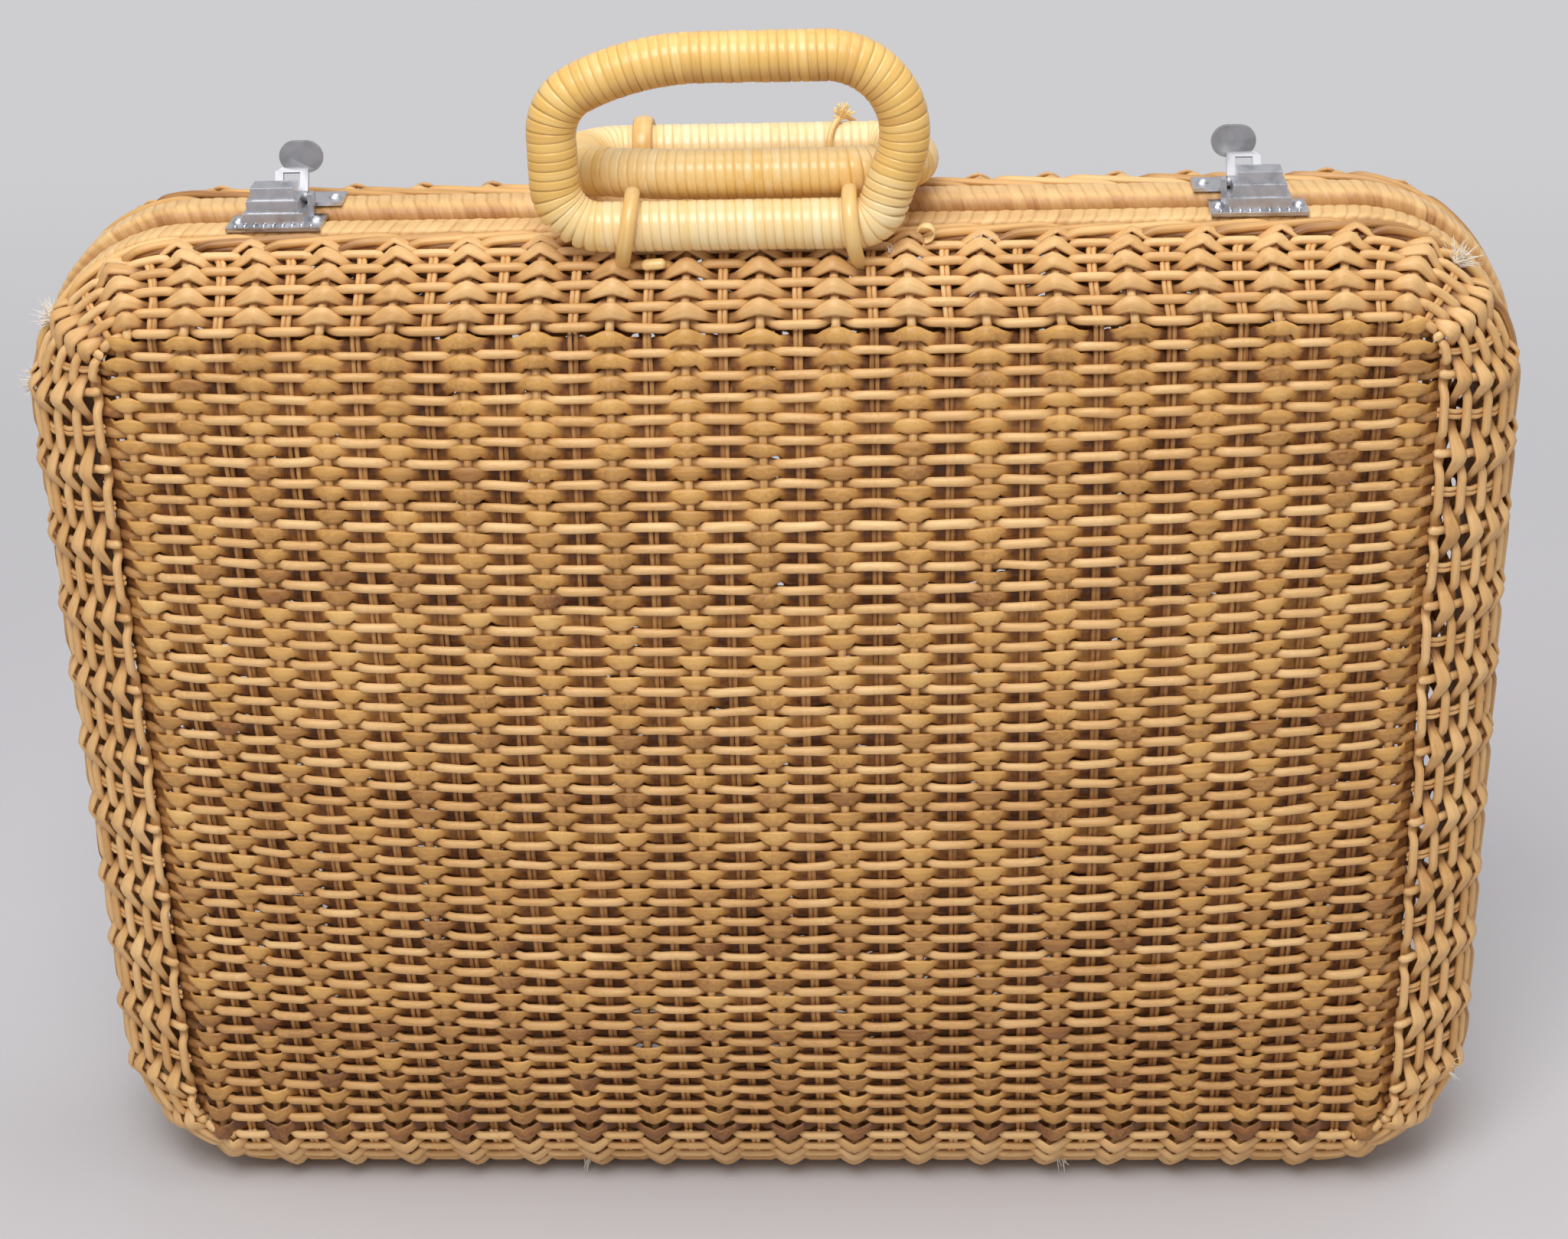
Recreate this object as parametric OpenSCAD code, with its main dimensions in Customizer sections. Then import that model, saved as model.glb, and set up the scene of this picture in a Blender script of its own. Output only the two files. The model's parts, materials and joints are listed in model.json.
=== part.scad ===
/* [Case] */
// Width of the front half across its rim
case_w = 440; // [410:1:480]
// Height of the front half, floor to the top of its rim
case_h = 320; // [290:1:350]
// Depth of each half, seam to the crown of its face
half_d = 60; // [56:1:70]
// Radius of the rim's corners
corner_r = 50; // [44:1:60]
// How much larger the back half is, on each side
lid_over = 1.5; // [0:0.25:2.5]
// Gap from the seam plane to each rim's mating face
seam_gap = 0.25; // [0.2:0.05:0.5]

/* [Woven shell] */
// Thickness of the woven wall
wall = 4.5; // [3:0.25:6]
// Inset of the face's crease from each end of the case
face_in_x = 26; // [20:0.5:32]
// Inset of the face's crease from the top and the bottom
face_in_z = 22; // [18:0.5:28]
// Depth of the crease from the seam
crease_d = 43; // [40:0.5:48]
// Inset of the weave where it leaves the border
weave_in = 1.5; // [1:0.25:4]
// Radius of the face's corners at the crease
crease_r = 14; // [10:1:24]
// How flat the crown of the face is
crown_power = 2.6; // [2:0.1:4]
// Depth of the flutes between the ribs of the weave, which stand at every second stake
flute_d = 1.2; // [0.6:0.1:1.6]

/* [Rim] */
// Depth of the bound rim hoop
rim_d = 13; // [12:0.5:16]
// Thickness of the rim hoop, outside to inside
rim_t = 10; // [9:0.25:12]
// Thickness of the cane binding round the hoop
binding = 1.8; // [1.2:0.1:2.2]
// Rounding of the rim's outer edge at the seam
rim_edge_r = 4; // [3.5:0.1:4.5]
// Rounding of the rim's other edges
rim_soft_r = 1.5; // [1:0.1:1.8]

/* [Border] */
// Depth of the braided border beside the rim
border_d = 8.6; // [7:0.2:9]
// Thickness of the braided border
border_t = 4.3; // [3.6:0.1:5]

/* [Handles] */
// Width of a handle ring, outside
handle_w = 114; // [105:1:125]
// Height of a handle ring, outside
handle_h = 63; // [62.75:0.25:70]
// Diameter of a bound handle
handle_d = 14.5; // [13:0.25:15]
// Diameter of the rod inside the binding
handle_rod_d = 10; // [9:0.25:11]
// Bend radius of the tied left corner, at the middle of the rod
low_left_r = 13; // [10:0.5:14]
// Bend radius of the tied right corner, at the middle of the rod
low_right_r = 8; // [7.75:0.25:10]
// Bend radius of the upper left corner, at the middle of the rod
high_left_r = 15; // [12:0.5:18]
// Bend radius of the upper right corner, at the middle of the rod
high_right_r = 22; // [18:0.5:24]
// Bend radius of the long shoulder beside the upper left corner
shoulder_r = 80; // [60:1:90]
// How far the shoulder turns
shoulder_turn = 26; // [20:1:30]
// Outward lean of the handle's right leg
leg_lean = 20; // [10:1:25]
// Height of the front handle's tied bar above the front rim
front_rise = 5; // [5:0.25:8]
// Distance of the front handle's tied bar from the seam
front_bar_y = 30; // [28:0.5:32]
// Shift of the front handle along the case
front_handle_x = -8; // [-9:0.5:0]
// Height of the back handle's tied bar above the back rim
back_rise = 6.75; // [6.5:0.25:9]
// Distance of the back handle's tied bar from the seam
back_bar_y = 33; // [31:0.5:33]
// Shift of the back handle along the case
back_handle_x = -5.5; // [-12:0.5:12]
// Gap between the back handle's grip and the front handle it leans on
lean_gap = 0.35; // [0.3:0.05:1]

/* [Handle ties] */
// Diameter of the cane of a tie
tie_d = 3.6; // [2.8:0.1:4]
// Gap between a tie and the bound bar inside it
tie_gap = 0.3; // [0.2:0.05:0.5]
// Distance of the front handle's left tie from the left side of its ring
front_tie_in = 21.5; // [20:0.5:26]
// Distance of the back handle's left tie from the left side of its ring
back_tie_in = 17.5; // [16.5:0.5:22]
// Distance of the front handle's right tie from the low right bend
front_bend_in = 2.25; // [2:0.25:8]
// Distance of the back handle's right tie from the low right bend
back_bend_in = 5.25; // [2:0.25:8]
// Lean of the ties towards the seam
tie_lean = 15; // [8:1:18]
// Clearance of a tie in the holes of the weave
tie_hole_gap = 0.15; // [0.1:0.05:0.3]

/* [Latches] */
// Distance of each latch from its end of the case
latch_end = 76.5; // [70:0.5:100]
// Width of the latch's base plate
plate_w = 28; // [26:0.5:32]
// Depth of the latch's base plate
plate_d = 13.6; // [12.5:0.1:14]
// Thickness of the latch and catch plates
plate_t = 1.2; // [0.8:0.1:1.6]
// Width of the lowest step of the housing
step_w = 18; // [16:0.5:18]
// Depth of the lowest step of the housing
step_d = 9.6; // [9:0.1:10]
// Height of one step of the housing
step_h = 3.6; // [2.8:0.1:4]
// How far each step is set in from the one below
step_in = 1.3; // [0.8:0.1:1.6]
// Width of the hasp's strap
hasp_w = 10; // [8:0.5:11]
// Thickness of the hasp
hasp_t = 1.2; // [0.9:0.1:1.5]
// Length of the hasp's strap from its pin to its bend
hasp_len = 9; // [8:0.25:10]
// Angle of the lifted strap above level
hasp_lift = 55; // [45:1:60]
// Width of the oval thumb tab
tab_w = 13; // [11:0.5:14]
// Height of the oval thumb tab
tab_h = 9.5; // [8:0.5:11]
// Radius of the hasp's pin
hasp_pin_r = 0.8; // [0.6:0.05:1]
// Radius of the hasp's knuckle
hasp_knuckle_r = 1.7; // [1.5:0.05:1.9]
// Shift of the hasp towards the middle of the case
hasp_shift = 3.5; // [0:0.5:3.5]
// Shift of the thumb tab on its strap, towards the middle of the case
tab_shift = 3; // [0:0.5:3.5]
// Width of the catch plate
catch_w = 26; // [24:0.5:30]
// Depth of the catch plate
catch_d = 11; // [9:0.5:12]
// Shift of the catch plate towards the middle of the case
catch_shift = 5; // [3:0.5:6]
// Height of the catch's lug
lug_h = 1.9; // [1.2:0.1:2.2]

/* [Hinges] */
// Distance of each hinge from its end of the case
hinge_end = 90; // [80:1:110]
// Width of a hinge
hinge_w = 34; // [28:1:40]
// Radius of a hinge's knuckles
knuckle_r = 2; // [1.9:0.05:2.1]
// Radius of a hinge's pin
hinge_pin_r = 1; // [0.8:0.05:1.1]
// Thickness of a hinge's leaf
leaf_t = 1; // [0.8:0.05:1.2]
// Height of the top edge of a leaf
leaf_top = 8.4; // [8:0.1:8.6]

/* [Rivets] */
// Radius of a rivet's shank
rivet_r = 1.1; // [0.9:0.05:1.2]
// Radius of a rivet's domed head
rivet_head_r = 2.2; // [1.8:0.1:2.4]
// Length of a rivet's shank in the rim
rivet_len = 7; // [5:0.5:7.5]

/* [Hidden] */
$fn = 48;
straw = [0.86, 0.66, 0.40];
pale_cane = [0.92, 0.76, 0.47];
dark_cane = [0.72, 0.52, 0.30];
bright_steel = [0.78, 0.79, 0.82];

// Outline of each half
front_size = [case_w, case_h, corner_r];
back_size = [case_w + 2 * lid_over, case_h + 2 * lid_over, corner_r + lid_over];
back_h = back_size[1];

// Profile of the woven wall, an arc from the border to the crease
fit_gap = 0.1;
edge_in = border_t + fit_gap;
edge_d = rim_d + border_d + 0.3;
arc_start_d = edge_d + 0.6;
arc_end = 65;
arc_steps = 4;
arc_x = (face_in_x - weave_in) / (1 - cos(arc_end));
arc_z = (face_in_z - weave_in) / (1 - cos(arc_end));
arc_d = (crease_d - arc_start_d) / sin(arc_end);
edge_shrink = 0.85;
corner_shrink = (corner_r - crease_r - edge_shrink * edge_in) / ((face_in_x + face_in_z) / 2 - edge_in);
face_scales = [0.86, 0.70, 0.50, 0.27];
row_scales = concat(face_scales, [0], -[for (k = [3:-1:0]) face_scales[k]]);

// Stakes of the weave in a quarter of the outline, and the ones where its bend starts and ends
quarter_stakes = 32;
stakes = 4 * quarter_stakes;
rim_knots = [16, 23];
crease_knots = [17.5, 21.75];
last_column = floor(crease_knots[0]);

// Swelling of a handle's ring where two of its runs meet, and how far each run stops short of that
ring_swell = 0.08;
ring_short = 0.1;

// Handles, ties and their lean
handle_r = handle_d / 2;
handle_span = handle_w - handle_d;
handle_reach = handle_h - handle_d;
front_bar_z = case_h + front_rise;
back_bar_z = back_h + back_rise;
back_lean = asin((back_bar_y + front_bar_y - handle_d - lean_gap) / handle_reach);
tie_r = handle_r + tie_gap + tie_d / 2;

// Middles of the ring's bends, from the middle of the tied bar's length
low_left = [low_left_r - handle_span / 2, low_left_r];
high_right = [handle_span / 2 - high_right_r, handle_reach - high_right_r];
low_right = [high_right[0] + (high_right_r - low_right_r - (high_right[1] - low_right_r) * sin(leg_lean))
    / cos(leg_lean), low_right_r];
shoulder_step = shoulder_r - high_left_r;
high_left = [high_left_r - handle_span / 2, handle_reach - shoulder_r + shoulder_step * cos(shoulder_turn)];
shoulder = high_left + shoulder_step * [sin(shoulder_turn), -cos(shoulder_turn)];
front_tie_x = [front_tie_in - handle_span / 2, low_right[0] - front_bend_in];
back_tie_x = [back_tie_in - handle_span / 2, low_right[0] - back_bend_in];

// Latches
latch_x = case_w / 2 - latch_end;
step_back = 2.2;
hasp_pin_y = 0;
hasp_pin_z = max(case_h, back_h) + plate_t + hasp_knuckle_r + 0.4;
hasp_side_gap = 0.3;
ear_t = 1.6;
pin_gap = 0.05;
slot_w = 5;
slot_start = 3;
slot_end = 7.4;
lug_w = 3.6;
lug_d = 2;
catch_y = 1.2;
catch_rivet_x = catch_w / 2 - 3;
plate_rivet_x = plate_w / 2 - 2.4;
plate_rivet_y = plate_d / 2;
bead_r = 0.7;
bead_step = 2.8;

// Hinges
hinge_x = case_w / 2 - hinge_end;
leaf_gap = 0.25;
knuckle_gap = 0.2;
leaf_rivet_in = 6;
leaf_rivet_x = hinge_w / 2 - leaf_rivet_in;
leaf_rivet_z = 6.4;
big = 100;

// Inset of the weave's outside from the top edge at a depth
function weave_inset(d) =
    d <= arc_start_d ? weave_in : weave_in + arc_z * (1 - cos(asin(min(1, (d - arc_start_d) / arc_d))));
// Length of a tie's legs, through the wall and a little more
function tie_leg(rise, bar_y) = rise + weave_inset(bar_y + tie_r * 0.6) + 1.6 * wall + 1;

// Point of a rounded rectangle at a stake of its quarter, counted from the middle of the top
function share(x) = max(0, min(1, x));
function quarter_point(a, b, r, m, knots) =
    let (f = 90 * share((m - knots[0]) / (knots[1] - knots[0])),
         down = share((m - knots[1]) / (quarter_stakes - knots[1])))
    [(a - r) * share(m / knots[0]) + r * sin(f), (b - r) * (1 - down) + r * cos(f)];
// Point of the whole outline at a stake, anticlockwise, v from 0 at the rim to 1 at the crease
function stake_point(a, b, r, k, v) =
    let (left = k < stakes / 2, h = left ? k : stakes - k, low = h > quarter_stakes,
         p = quarter_point(a, b, r, low ? stakes / 2 - h : h, rim_knots + (crease_knots - rim_knots) * v))
    [left ? -p[0] : p[0], low ? -p[1] : p[1]];

// What an inset takes off the corners' radius, little under the border and more up to the crease
function radius_loss(m) = edge_shrink * min(m, edge_in) + corner_shrink * max(0, m - edge_in);
function inset_point(size, ix, iz, d, k, v) =
    let (p = stake_point(size[0] / 2 - ix, size[1] / 2 - iz, size[2] - radius_loss((ix + iz) / 2), k, v))
    [p[0], p[1], d];
// Outward direction of the wall's arc at an angle, across the band and in depth
function arc_out(f, reach) = let (v = [arc_d * cos(f), reach * sin(f)]) v / norm(v);
// Point of the wall's arc, moved inwards by t square to the surface
function arc_ix(f, t) = weave_in + arc_x * (1 - cos(f)) + t * arc_out(f, arc_x)[0];
function arc_iz(f, t) = weave_in + arc_z * (1 - cos(f)) + t * arc_out(f, arc_z)[0];
function arc_dd(f, t) = arc_start_d + arc_d * sin(f) - t * arc_out(f, arc_x)[1];
// Depth of the crowned face at a point
function crown(size, p, t) = crease_d - t + (half_d - crease_d)
    * (1 - pow(min(1, abs(p[0]) / (size[0] / 2 - face_in_x)), crown_power))
    * (1 - pow(min(1, abs(p[1]) / (size[1] / 2 - face_in_z)), crown_power));

// How deep the flute at a stake is, none at the odd stakes, which are the ribs
function flute(k) = k % 2 == 0 ? flute_d : 0;
// Rings of the wall's outside, with a point at each stake
function outer_rings(size) = concat(
    [for (d = [rim_d, edge_d]) [for (k = [0:stakes - 1]) inset_point(size, edge_in, edge_in, d, k, 0)]],
    [for (j = [0:arc_steps]) let (f = arc_end * j / arc_steps) [for (k = [0:stakes - 1]) let (t = flute(k))
        inset_point(size, arc_ix(f, t), arc_iz(f, t), arc_dd(f, t), k, j / arc_steps)]]);
// Rings of the wall's inside, with a point at every second stake
function inner_rings(size) =
    let (least = edge_in + wall,
         edge = [for (d = [rim_d, edge_d]) [for (k = [0:2:stakes - 1])
             inset_point(size, least, least, d, k, 0)]],
         band = [for (j = [0:arc_steps]) let (f = arc_end * j / arc_steps) [for (k = [0:2:stakes - 1])
             inset_point(size, max(arc_ix(f, wall), least), max(arc_iz(f, wall), least), arc_dd(f, wall), k,
                 j / arc_steps)]])
    concat(edge, band, [for (s = face_scales) [for (p = band[arc_steps])
        let (q = [p[0] * s, p[1] * s]) [q[0], q[1], crown(size, q, wall)]]]);
// Points of the face's columns, down each of the stakes that cross it
function face_points(size) =
    let (b = size[1] / 2 - face_in_z, corner = size[2] - radius_loss((face_in_x + face_in_z) / 2),
         run = size[0] / 2 - face_in_x - corner)
    [for (c = [-last_column:last_column], s = row_scales)
        let (q = [-run * c / crease_knots[0], b * s]) [q[0], q[1], crown(size, q, flute(c))]];

// Point numbers down a column of the face, from the crease at the top to the crease at the bottom
function column(crease, inside, c) =
    let (n = len(row_scales), first = inside + (c + last_column) * n)
    concat([crease + (stakes + c) % stakes], [for (j = [0:n - 1]) first + j], [crease + stakes / 2 - c]);
function reverse(list) = [for (k = [len(list) - 1:-1:0]) list[k]];
// Triangles between two lines of points that run the same way, the second at least as long
function stitch(p, q) = [for (j = [0:len(q) - 2])
    let (i = round(j * (len(p) - 1) / (len(q) - 1)), n = round((j + 1) * (len(p) - 1) / (len(q) - 1)))
    each n > i ? [[p[i], q[j + 1], q[j]], [p[i], p[n], q[j + 1]]] : [[p[i], q[j + 1], q[j]]]];
function face_faces(crease, inside) =
    let (columns = [for (c = [-last_column:last_column]) column(crease, inside, c)], n = len(columns),
         far = last_column + 1, low = stakes / 2 - far,
         left_side = [for (k = [far:low]) crease + k],
         right_side = [for (k = [stakes - low:stakes - far]) crease + k])
    concat([for (c = [0:n - 2]) each stitch(columns[c], columns[c + 1])],
           stitch(columns[n - 1], left_side), stitch(reverse(columns[0]), right_side));
function wall_faces(first, rings, n, turn) = [for (j = [0:rings - 2]) for (i = [0:n - 1])
    let (a = first + j * n + i, b = first + j * n + (i + 1) % n, c = a + n, d = b + n)
    each turn ? [[a, d, c], [a, b, d]] : [[a, c, d], [a, d, b]]];
function edge_faces(outer, inner) = [for (i = [0:stakes / 2 - 1])
    let (a = outer + 2 * i, c = outer + (2 * i + 2) % stakes, d = inner + i, e = inner + (i + 1) % (stakes / 2))
    each [[a, a + 1, d], [a + 1, c, e], [a + 1, e, d]]];
function flat(rings) = [for (ring = rings) for (p = ring) p];

// Hollow pillow of woven wall, open at the rim, depth along z
module pillow(size) {
    outer = outer_rings(size);
    face = face_points(size);
    inner = inner_rings(size);
    half = stakes / 2;
    face_first = len(outer) * stakes;
    inner_first = face_first + len(face);
    tip = inner_first + len(inner) * half;
    points = concat(flat(outer), face, flat(inner), [[0, 0, half_d - wall]]);
    faces = concat(wall_faces(0, len(outer), stakes, false), face_faces(face_first - stakes, face_first),
        wall_faces(inner_first, len(inner), half, true),
        [for (i = [0:half - 1]) [tip - half + i, tip - half + (i + 1) % half, tip]],
        edge_faces(0, inner_first));
    polyhedron(points, faces);
}

// Rectangle between two corners, with its own rounding at each corner
module soft_rect(x0, x1, y0, y1, r_out, r_in) {
    difference() {
        translate([x0, y0]) square([x1 - x0, y1 - y0]);
        corner_cut(x0, y0, 1, 1, r_out);
        corner_cut(x1, y0, -1, 1, r_in);
        corner_cut(x0, y1, 1, -1, r_in);
        corner_cut(x1, y1, -1, -1, r_in);
    }
}

// What a rounding takes off a corner
module corner_cut(x, y, sx, sy, r) {
    difference() {
        translate([x + (sx > 0 ? -1 : -r), y + (sy > 0 ? -1 : -r)]) square(r + 1);
        translate([x + sx * r, y + sy * r]) circle(r);
    }
}

// Hoop with the children's section, inset along x and depth along y
module hoop(size) {
    w = size[0];
    h = size[1];
    r = size[2];
    for (k = [0:3]) {
        even = k % 2 == 0;
        reach = even ? w / 2 : h / 2;
        run = even ? h / 2 - r : w / 2 - r;
        rotate([0, 0, 90 * k]) {
            translate([reach, run, 0]) rotate([90, 0, 0]) linear_extrude(2 * run) mirror([1, 0]) children();
            translate([reach - r, run, 0]) rotate_extrude(angle = 90) translate([r, 0]) mirror([1, 0]) children();
        }
    }
}

// Puts a half that was made lying, with its depth up, in its place
module front_place() { translate([0, 0, case_h / 2]) rotate([90, 0, 0]) children(); }
module back_place() { translate([0, 0, back_h / 2]) mirror([0, 1, 0]) rotate([90, 0, 0]) children(); }

module rim_section() { soft_rect(0, rim_t, seam_gap, rim_d, rim_edge_r, rim_soft_r); }
module core_section() {
    soft_rect(binding, rim_t - binding, seam_gap + binding, rim_d - binding, rim_edge_r - binding, 0.6);
}
module border_section() { soft_rect(0, border_t, rim_d + fit_gap, rim_d + border_d, 1.6, 1.6); }

// Rod along x, and the bends and rods of a handle's ring, its tied bar on the x axis
module rod_x(length, r) { translate([-length / 2, 0, 0]) rotate([0, 90, 0]) cylinder(h = length, r = r); }
module ring_bend(middle, bend_r, r, from, turn) {
    short = ring_short / bend_r * 180 / PI;
    first = middle + bend_r * [cos(from), sin(from)];
    translate([middle[0], 0, middle[1]]) rotate([90, 0, 0]) rotate([0, 0, from + short])
        rotate_extrude(angle = turn - 2 * short) translate([bend_r, 0]) circle(r);
    translate([first[0], 0, first[1]]) sphere(r + ring_swell);
}
module ring_rod(p, q, r) {
    way = q - p;
    translate([p[0], 0, p[1]]) rotate([0, atan2(way[0], way[1]), 0]) {
        translate([0, 0, ring_short]) cylinder(h = norm(way) - 2 * ring_short, r = r);
        sphere(r + ring_swell);
    }
}
module handle_ring(r) {
    leg_side = [cos(leg_lean), -sin(leg_lean)];
    ring_rod([low_left[0], 0], [low_right[0], 0], r);
    ring_bend(low_right, low_right_r, r, -90, 90 - leg_lean);
    ring_rod(low_right + low_right_r * leg_side, high_right + high_right_r * leg_side, r);
    ring_bend(high_right, high_right_r, r, -leg_lean, 90 + leg_lean);
    ring_rod([high_right[0], handle_reach], [shoulder[0], handle_reach], r);
    ring_bend(shoulder, shoulder_r, r, 90, shoulder_turn);
    ring_bend(high_left, high_left_r, r, 90 + shoulder_turn, 90 - shoulder_turn);
    ring_rod([-handle_span / 2, high_left[1]], [-handle_span / 2, low_left_r], r);
    ring_bend(low_left, low_left_r, r, 180, 90);
}
module front_handle_place() { translate([front_handle_x, -front_bar_y, front_bar_z]) children(); }
module back_handle_place() {
    translate([back_handle_x, back_bar_y, back_bar_z]) rotate([back_lean, 0, 0]) children();
}

// Closed cane tie round a bar on the x axis, its legs down
module tie_arc(turn) {
    rotate([90, 0, 90]) rotate([0, 0, turn]) rotate_extrude(angle = 180) translate([tie_r, 0]) circle(tie_d / 2);
}
module tie_legs(leg, extra) {
    for (side = [-1, 1]) translate([0, side * tie_r, -leg]) cylinder(h = leg, r = tie_d / 2 + extra);
}
module tie(leg) {
    tie_arc(0);
    tie_legs(leg, 0);
    translate([0, 0, -leg]) tie_arc(180);
}
module front_tie_place() {
    for (x = front_tie_x) translate([front_handle_x + x, -front_bar_y, front_bar_z])
        rotate([tie_lean, 0, 0]) children();
}
module back_tie_place() {
    for (x = back_tie_x) translate([back_handle_x + x, back_bar_y, back_bar_z])
        rotate([-tie_lean, 0, 0]) children();
}
front_leg = tie_leg(front_rise, front_bar_y);
back_leg = tie_leg(back_rise, back_bar_y);

// Domed rivet, its head's underside at the origin and its shank down
module rivet(length) {
    translate([0, 0, -length]) cylinder(h = length, r = rivet_r);
    rotate_extrude() intersection() {
        translate([0, -rivet_head_r * 0.5]) circle(rivet_head_r * 1.12);
        square([rivet_head_r, rivet_head_r]);
    }
}
module latch_rivet_places() {
    for (side = [-1, 1], end = [-1, 1])
        translate([side * latch_x + end * plate_rivet_x, -plate_rivet_y, case_h + plate_t]) children();
}
module catch_rivet_places() {
    for (side = [-1, 1], end = [-1, 1])
        translate([side * (latch_x - catch_shift) + end * catch_rivet_x, catch_y + catch_d / 2, back_h + plate_t])
            children();
}
module rivet_hole(length) { translate([0, 0, -length]) cylinder(h = length + 1, r = rivet_r); }

// Room for the hinges in both rims, and places of their rivets
module hinge_room() {
    for (side = [-1, 1]) {
        translate([side * hinge_x - hinge_w / 2 - 0.3, -knuckle_r - 0.3, -1])
            cube([hinge_w + 0.6, 2 * knuckle_r + 0.6, 2 * knuckle_r + 1.3]);
        translate([side * hinge_x - hinge_w / 2 - 0.1, -leaf_gap - leaf_t, 0])
            cube([hinge_w + 0.2, 2 * (leaf_gap + leaf_t), leaf_top + 0.1]);
    }
}
module hinge_rivet_places() {
    for (side = [-1, 1], end = [-1, 1]) translate([side * hinge_x + end * leaf_rivet_x, 0, leaf_rivet_z]) children();
}
module hinge_rivet() { translate([0, -leaf_gap, 0]) rotate([90, 0, 0]) cylinder(h = rivet_len, r = rivet_r); }

// One leaf towards -y with its knuckles, the hinge's pin on the x axis at height knuckle_r
module leaf(outer) {
    third = hinge_w / 3;
    bore = hinge_pin_r + (outer ? 0 : pin_gap);
    spans = outer ? [[-hinge_w / 2, third], [hinge_w / 2 - third, third]]
                  : [[-third / 2 + knuckle_gap, third - 2 * knuckle_gap]];
    difference() {
        union() {
            translate([-hinge_w / 2, -leaf_gap - leaf_t, 2 * knuckle_r + knuckle_gap])
                cube([hinge_w, leaf_t, leaf_top - 2 * knuckle_r - knuckle_gap]);
            for (s = spans) {
                translate([s[0], 0, knuckle_r]) rotate([0, 90, 0]) cylinder(h = s[1], r = knuckle_r);
                translate([s[0], -leaf_gap - leaf_t, knuckle_r]) cube([s[1], leaf_t, leaf_top - knuckle_r]);
            }
        }
        translate([-big / 2, 0, knuckle_r]) rotate([0, 90, 0]) cylinder(h = big, r = bore);
        for (end = [-1, 1]) translate([end * leaf_rivet_x, 0, leaf_rivet_z]) rotate([90, 0, 0])
            cylinder(h = big, r = rivet_r);
    }
}
module hinge_pin() {
    translate([-hinge_w / 2, 0, knuckle_r]) rotate([0, 90, 0]) cylinder(h = hinge_w, r = hinge_pin_r);
}

// Front half
module front_shell() {
    color(straw) difference() {
        front_place() pillow(front_size);
        front_tie_place() tie_legs(front_leg, tie_hole_gap);
    }
}
module front_border() {
    color(dark_cane) difference() {
        front_place() hoop(front_size) border_section();
        front_tie_place() tie_legs(front_leg, tie_hole_gap);
    }
}
module front_rim_core() {
    color(dark_cane) difference() {
        front_place() hoop(front_size) core_section();
        latch_rivet_places() rivet_hole(plate_t + rivet_len);
        hinge_room();
        hinge_rivet_places() hinge_rivet();
    }
}
module front_rim_binding() {
    color(pale_cane) difference() {
        front_place() hoop(front_size) difference() {
            rim_section();
            core_section();
        }
        latch_rivet_places() rivet_hole(plate_t + rivet_len);
        hinge_room();
        hinge_rivet_places() hinge_rivet();
    }
}
module front_handle_ties() { color(straw) front_tie_place() tie(front_leg); }
module front_handle_rod() { color(dark_cane) front_handle_place() handle_ring(handle_rod_d / 2); }
module front_handle_binding() {
    color(pale_cane) front_handle_place() difference() {
        handle_ring(handle_r);
        handle_ring(handle_rod_d / 2);
    }
}

// Back half
module back_shell() {
    color(straw) difference() {
        back_place() pillow(back_size);
        back_tie_place() tie_legs(back_leg, tie_hole_gap);
    }
}
module back_border() {
    color(dark_cane) difference() {
        back_place() hoop(back_size) border_section();
        back_tie_place() tie_legs(back_leg, tie_hole_gap);
    }
}
module back_rim_core() {
    color(dark_cane) difference() {
        back_place() hoop(back_size) core_section();
        catch_rivet_places() rivet_hole(plate_t + rivet_len);
        hinge_room();
        hinge_rivet_places() mirror([0, 1, 0]) hinge_rivet();
    }
}
module back_rim_binding() {
    color(pale_cane) difference() {
        back_place() hoop(back_size) difference() {
            rim_section();
            core_section();
        }
        catch_rivet_places() rivet_hole(plate_t + rivet_len);
        hinge_room();
        hinge_rivet_places() mirror([0, 1, 0]) hinge_rivet();
    }
}
module back_handle_ties() { color(straw) back_tie_place() tie(back_leg); }
module back_handle_rod() { color(dark_cane) back_handle_place() handle_ring(handle_rod_d / 2); }
module back_handle_binding() {
    color(pale_cane) back_handle_place() difference() {
        handle_ring(handle_r);
        handle_ring(handle_rod_d / 2);
    }
}

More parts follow.
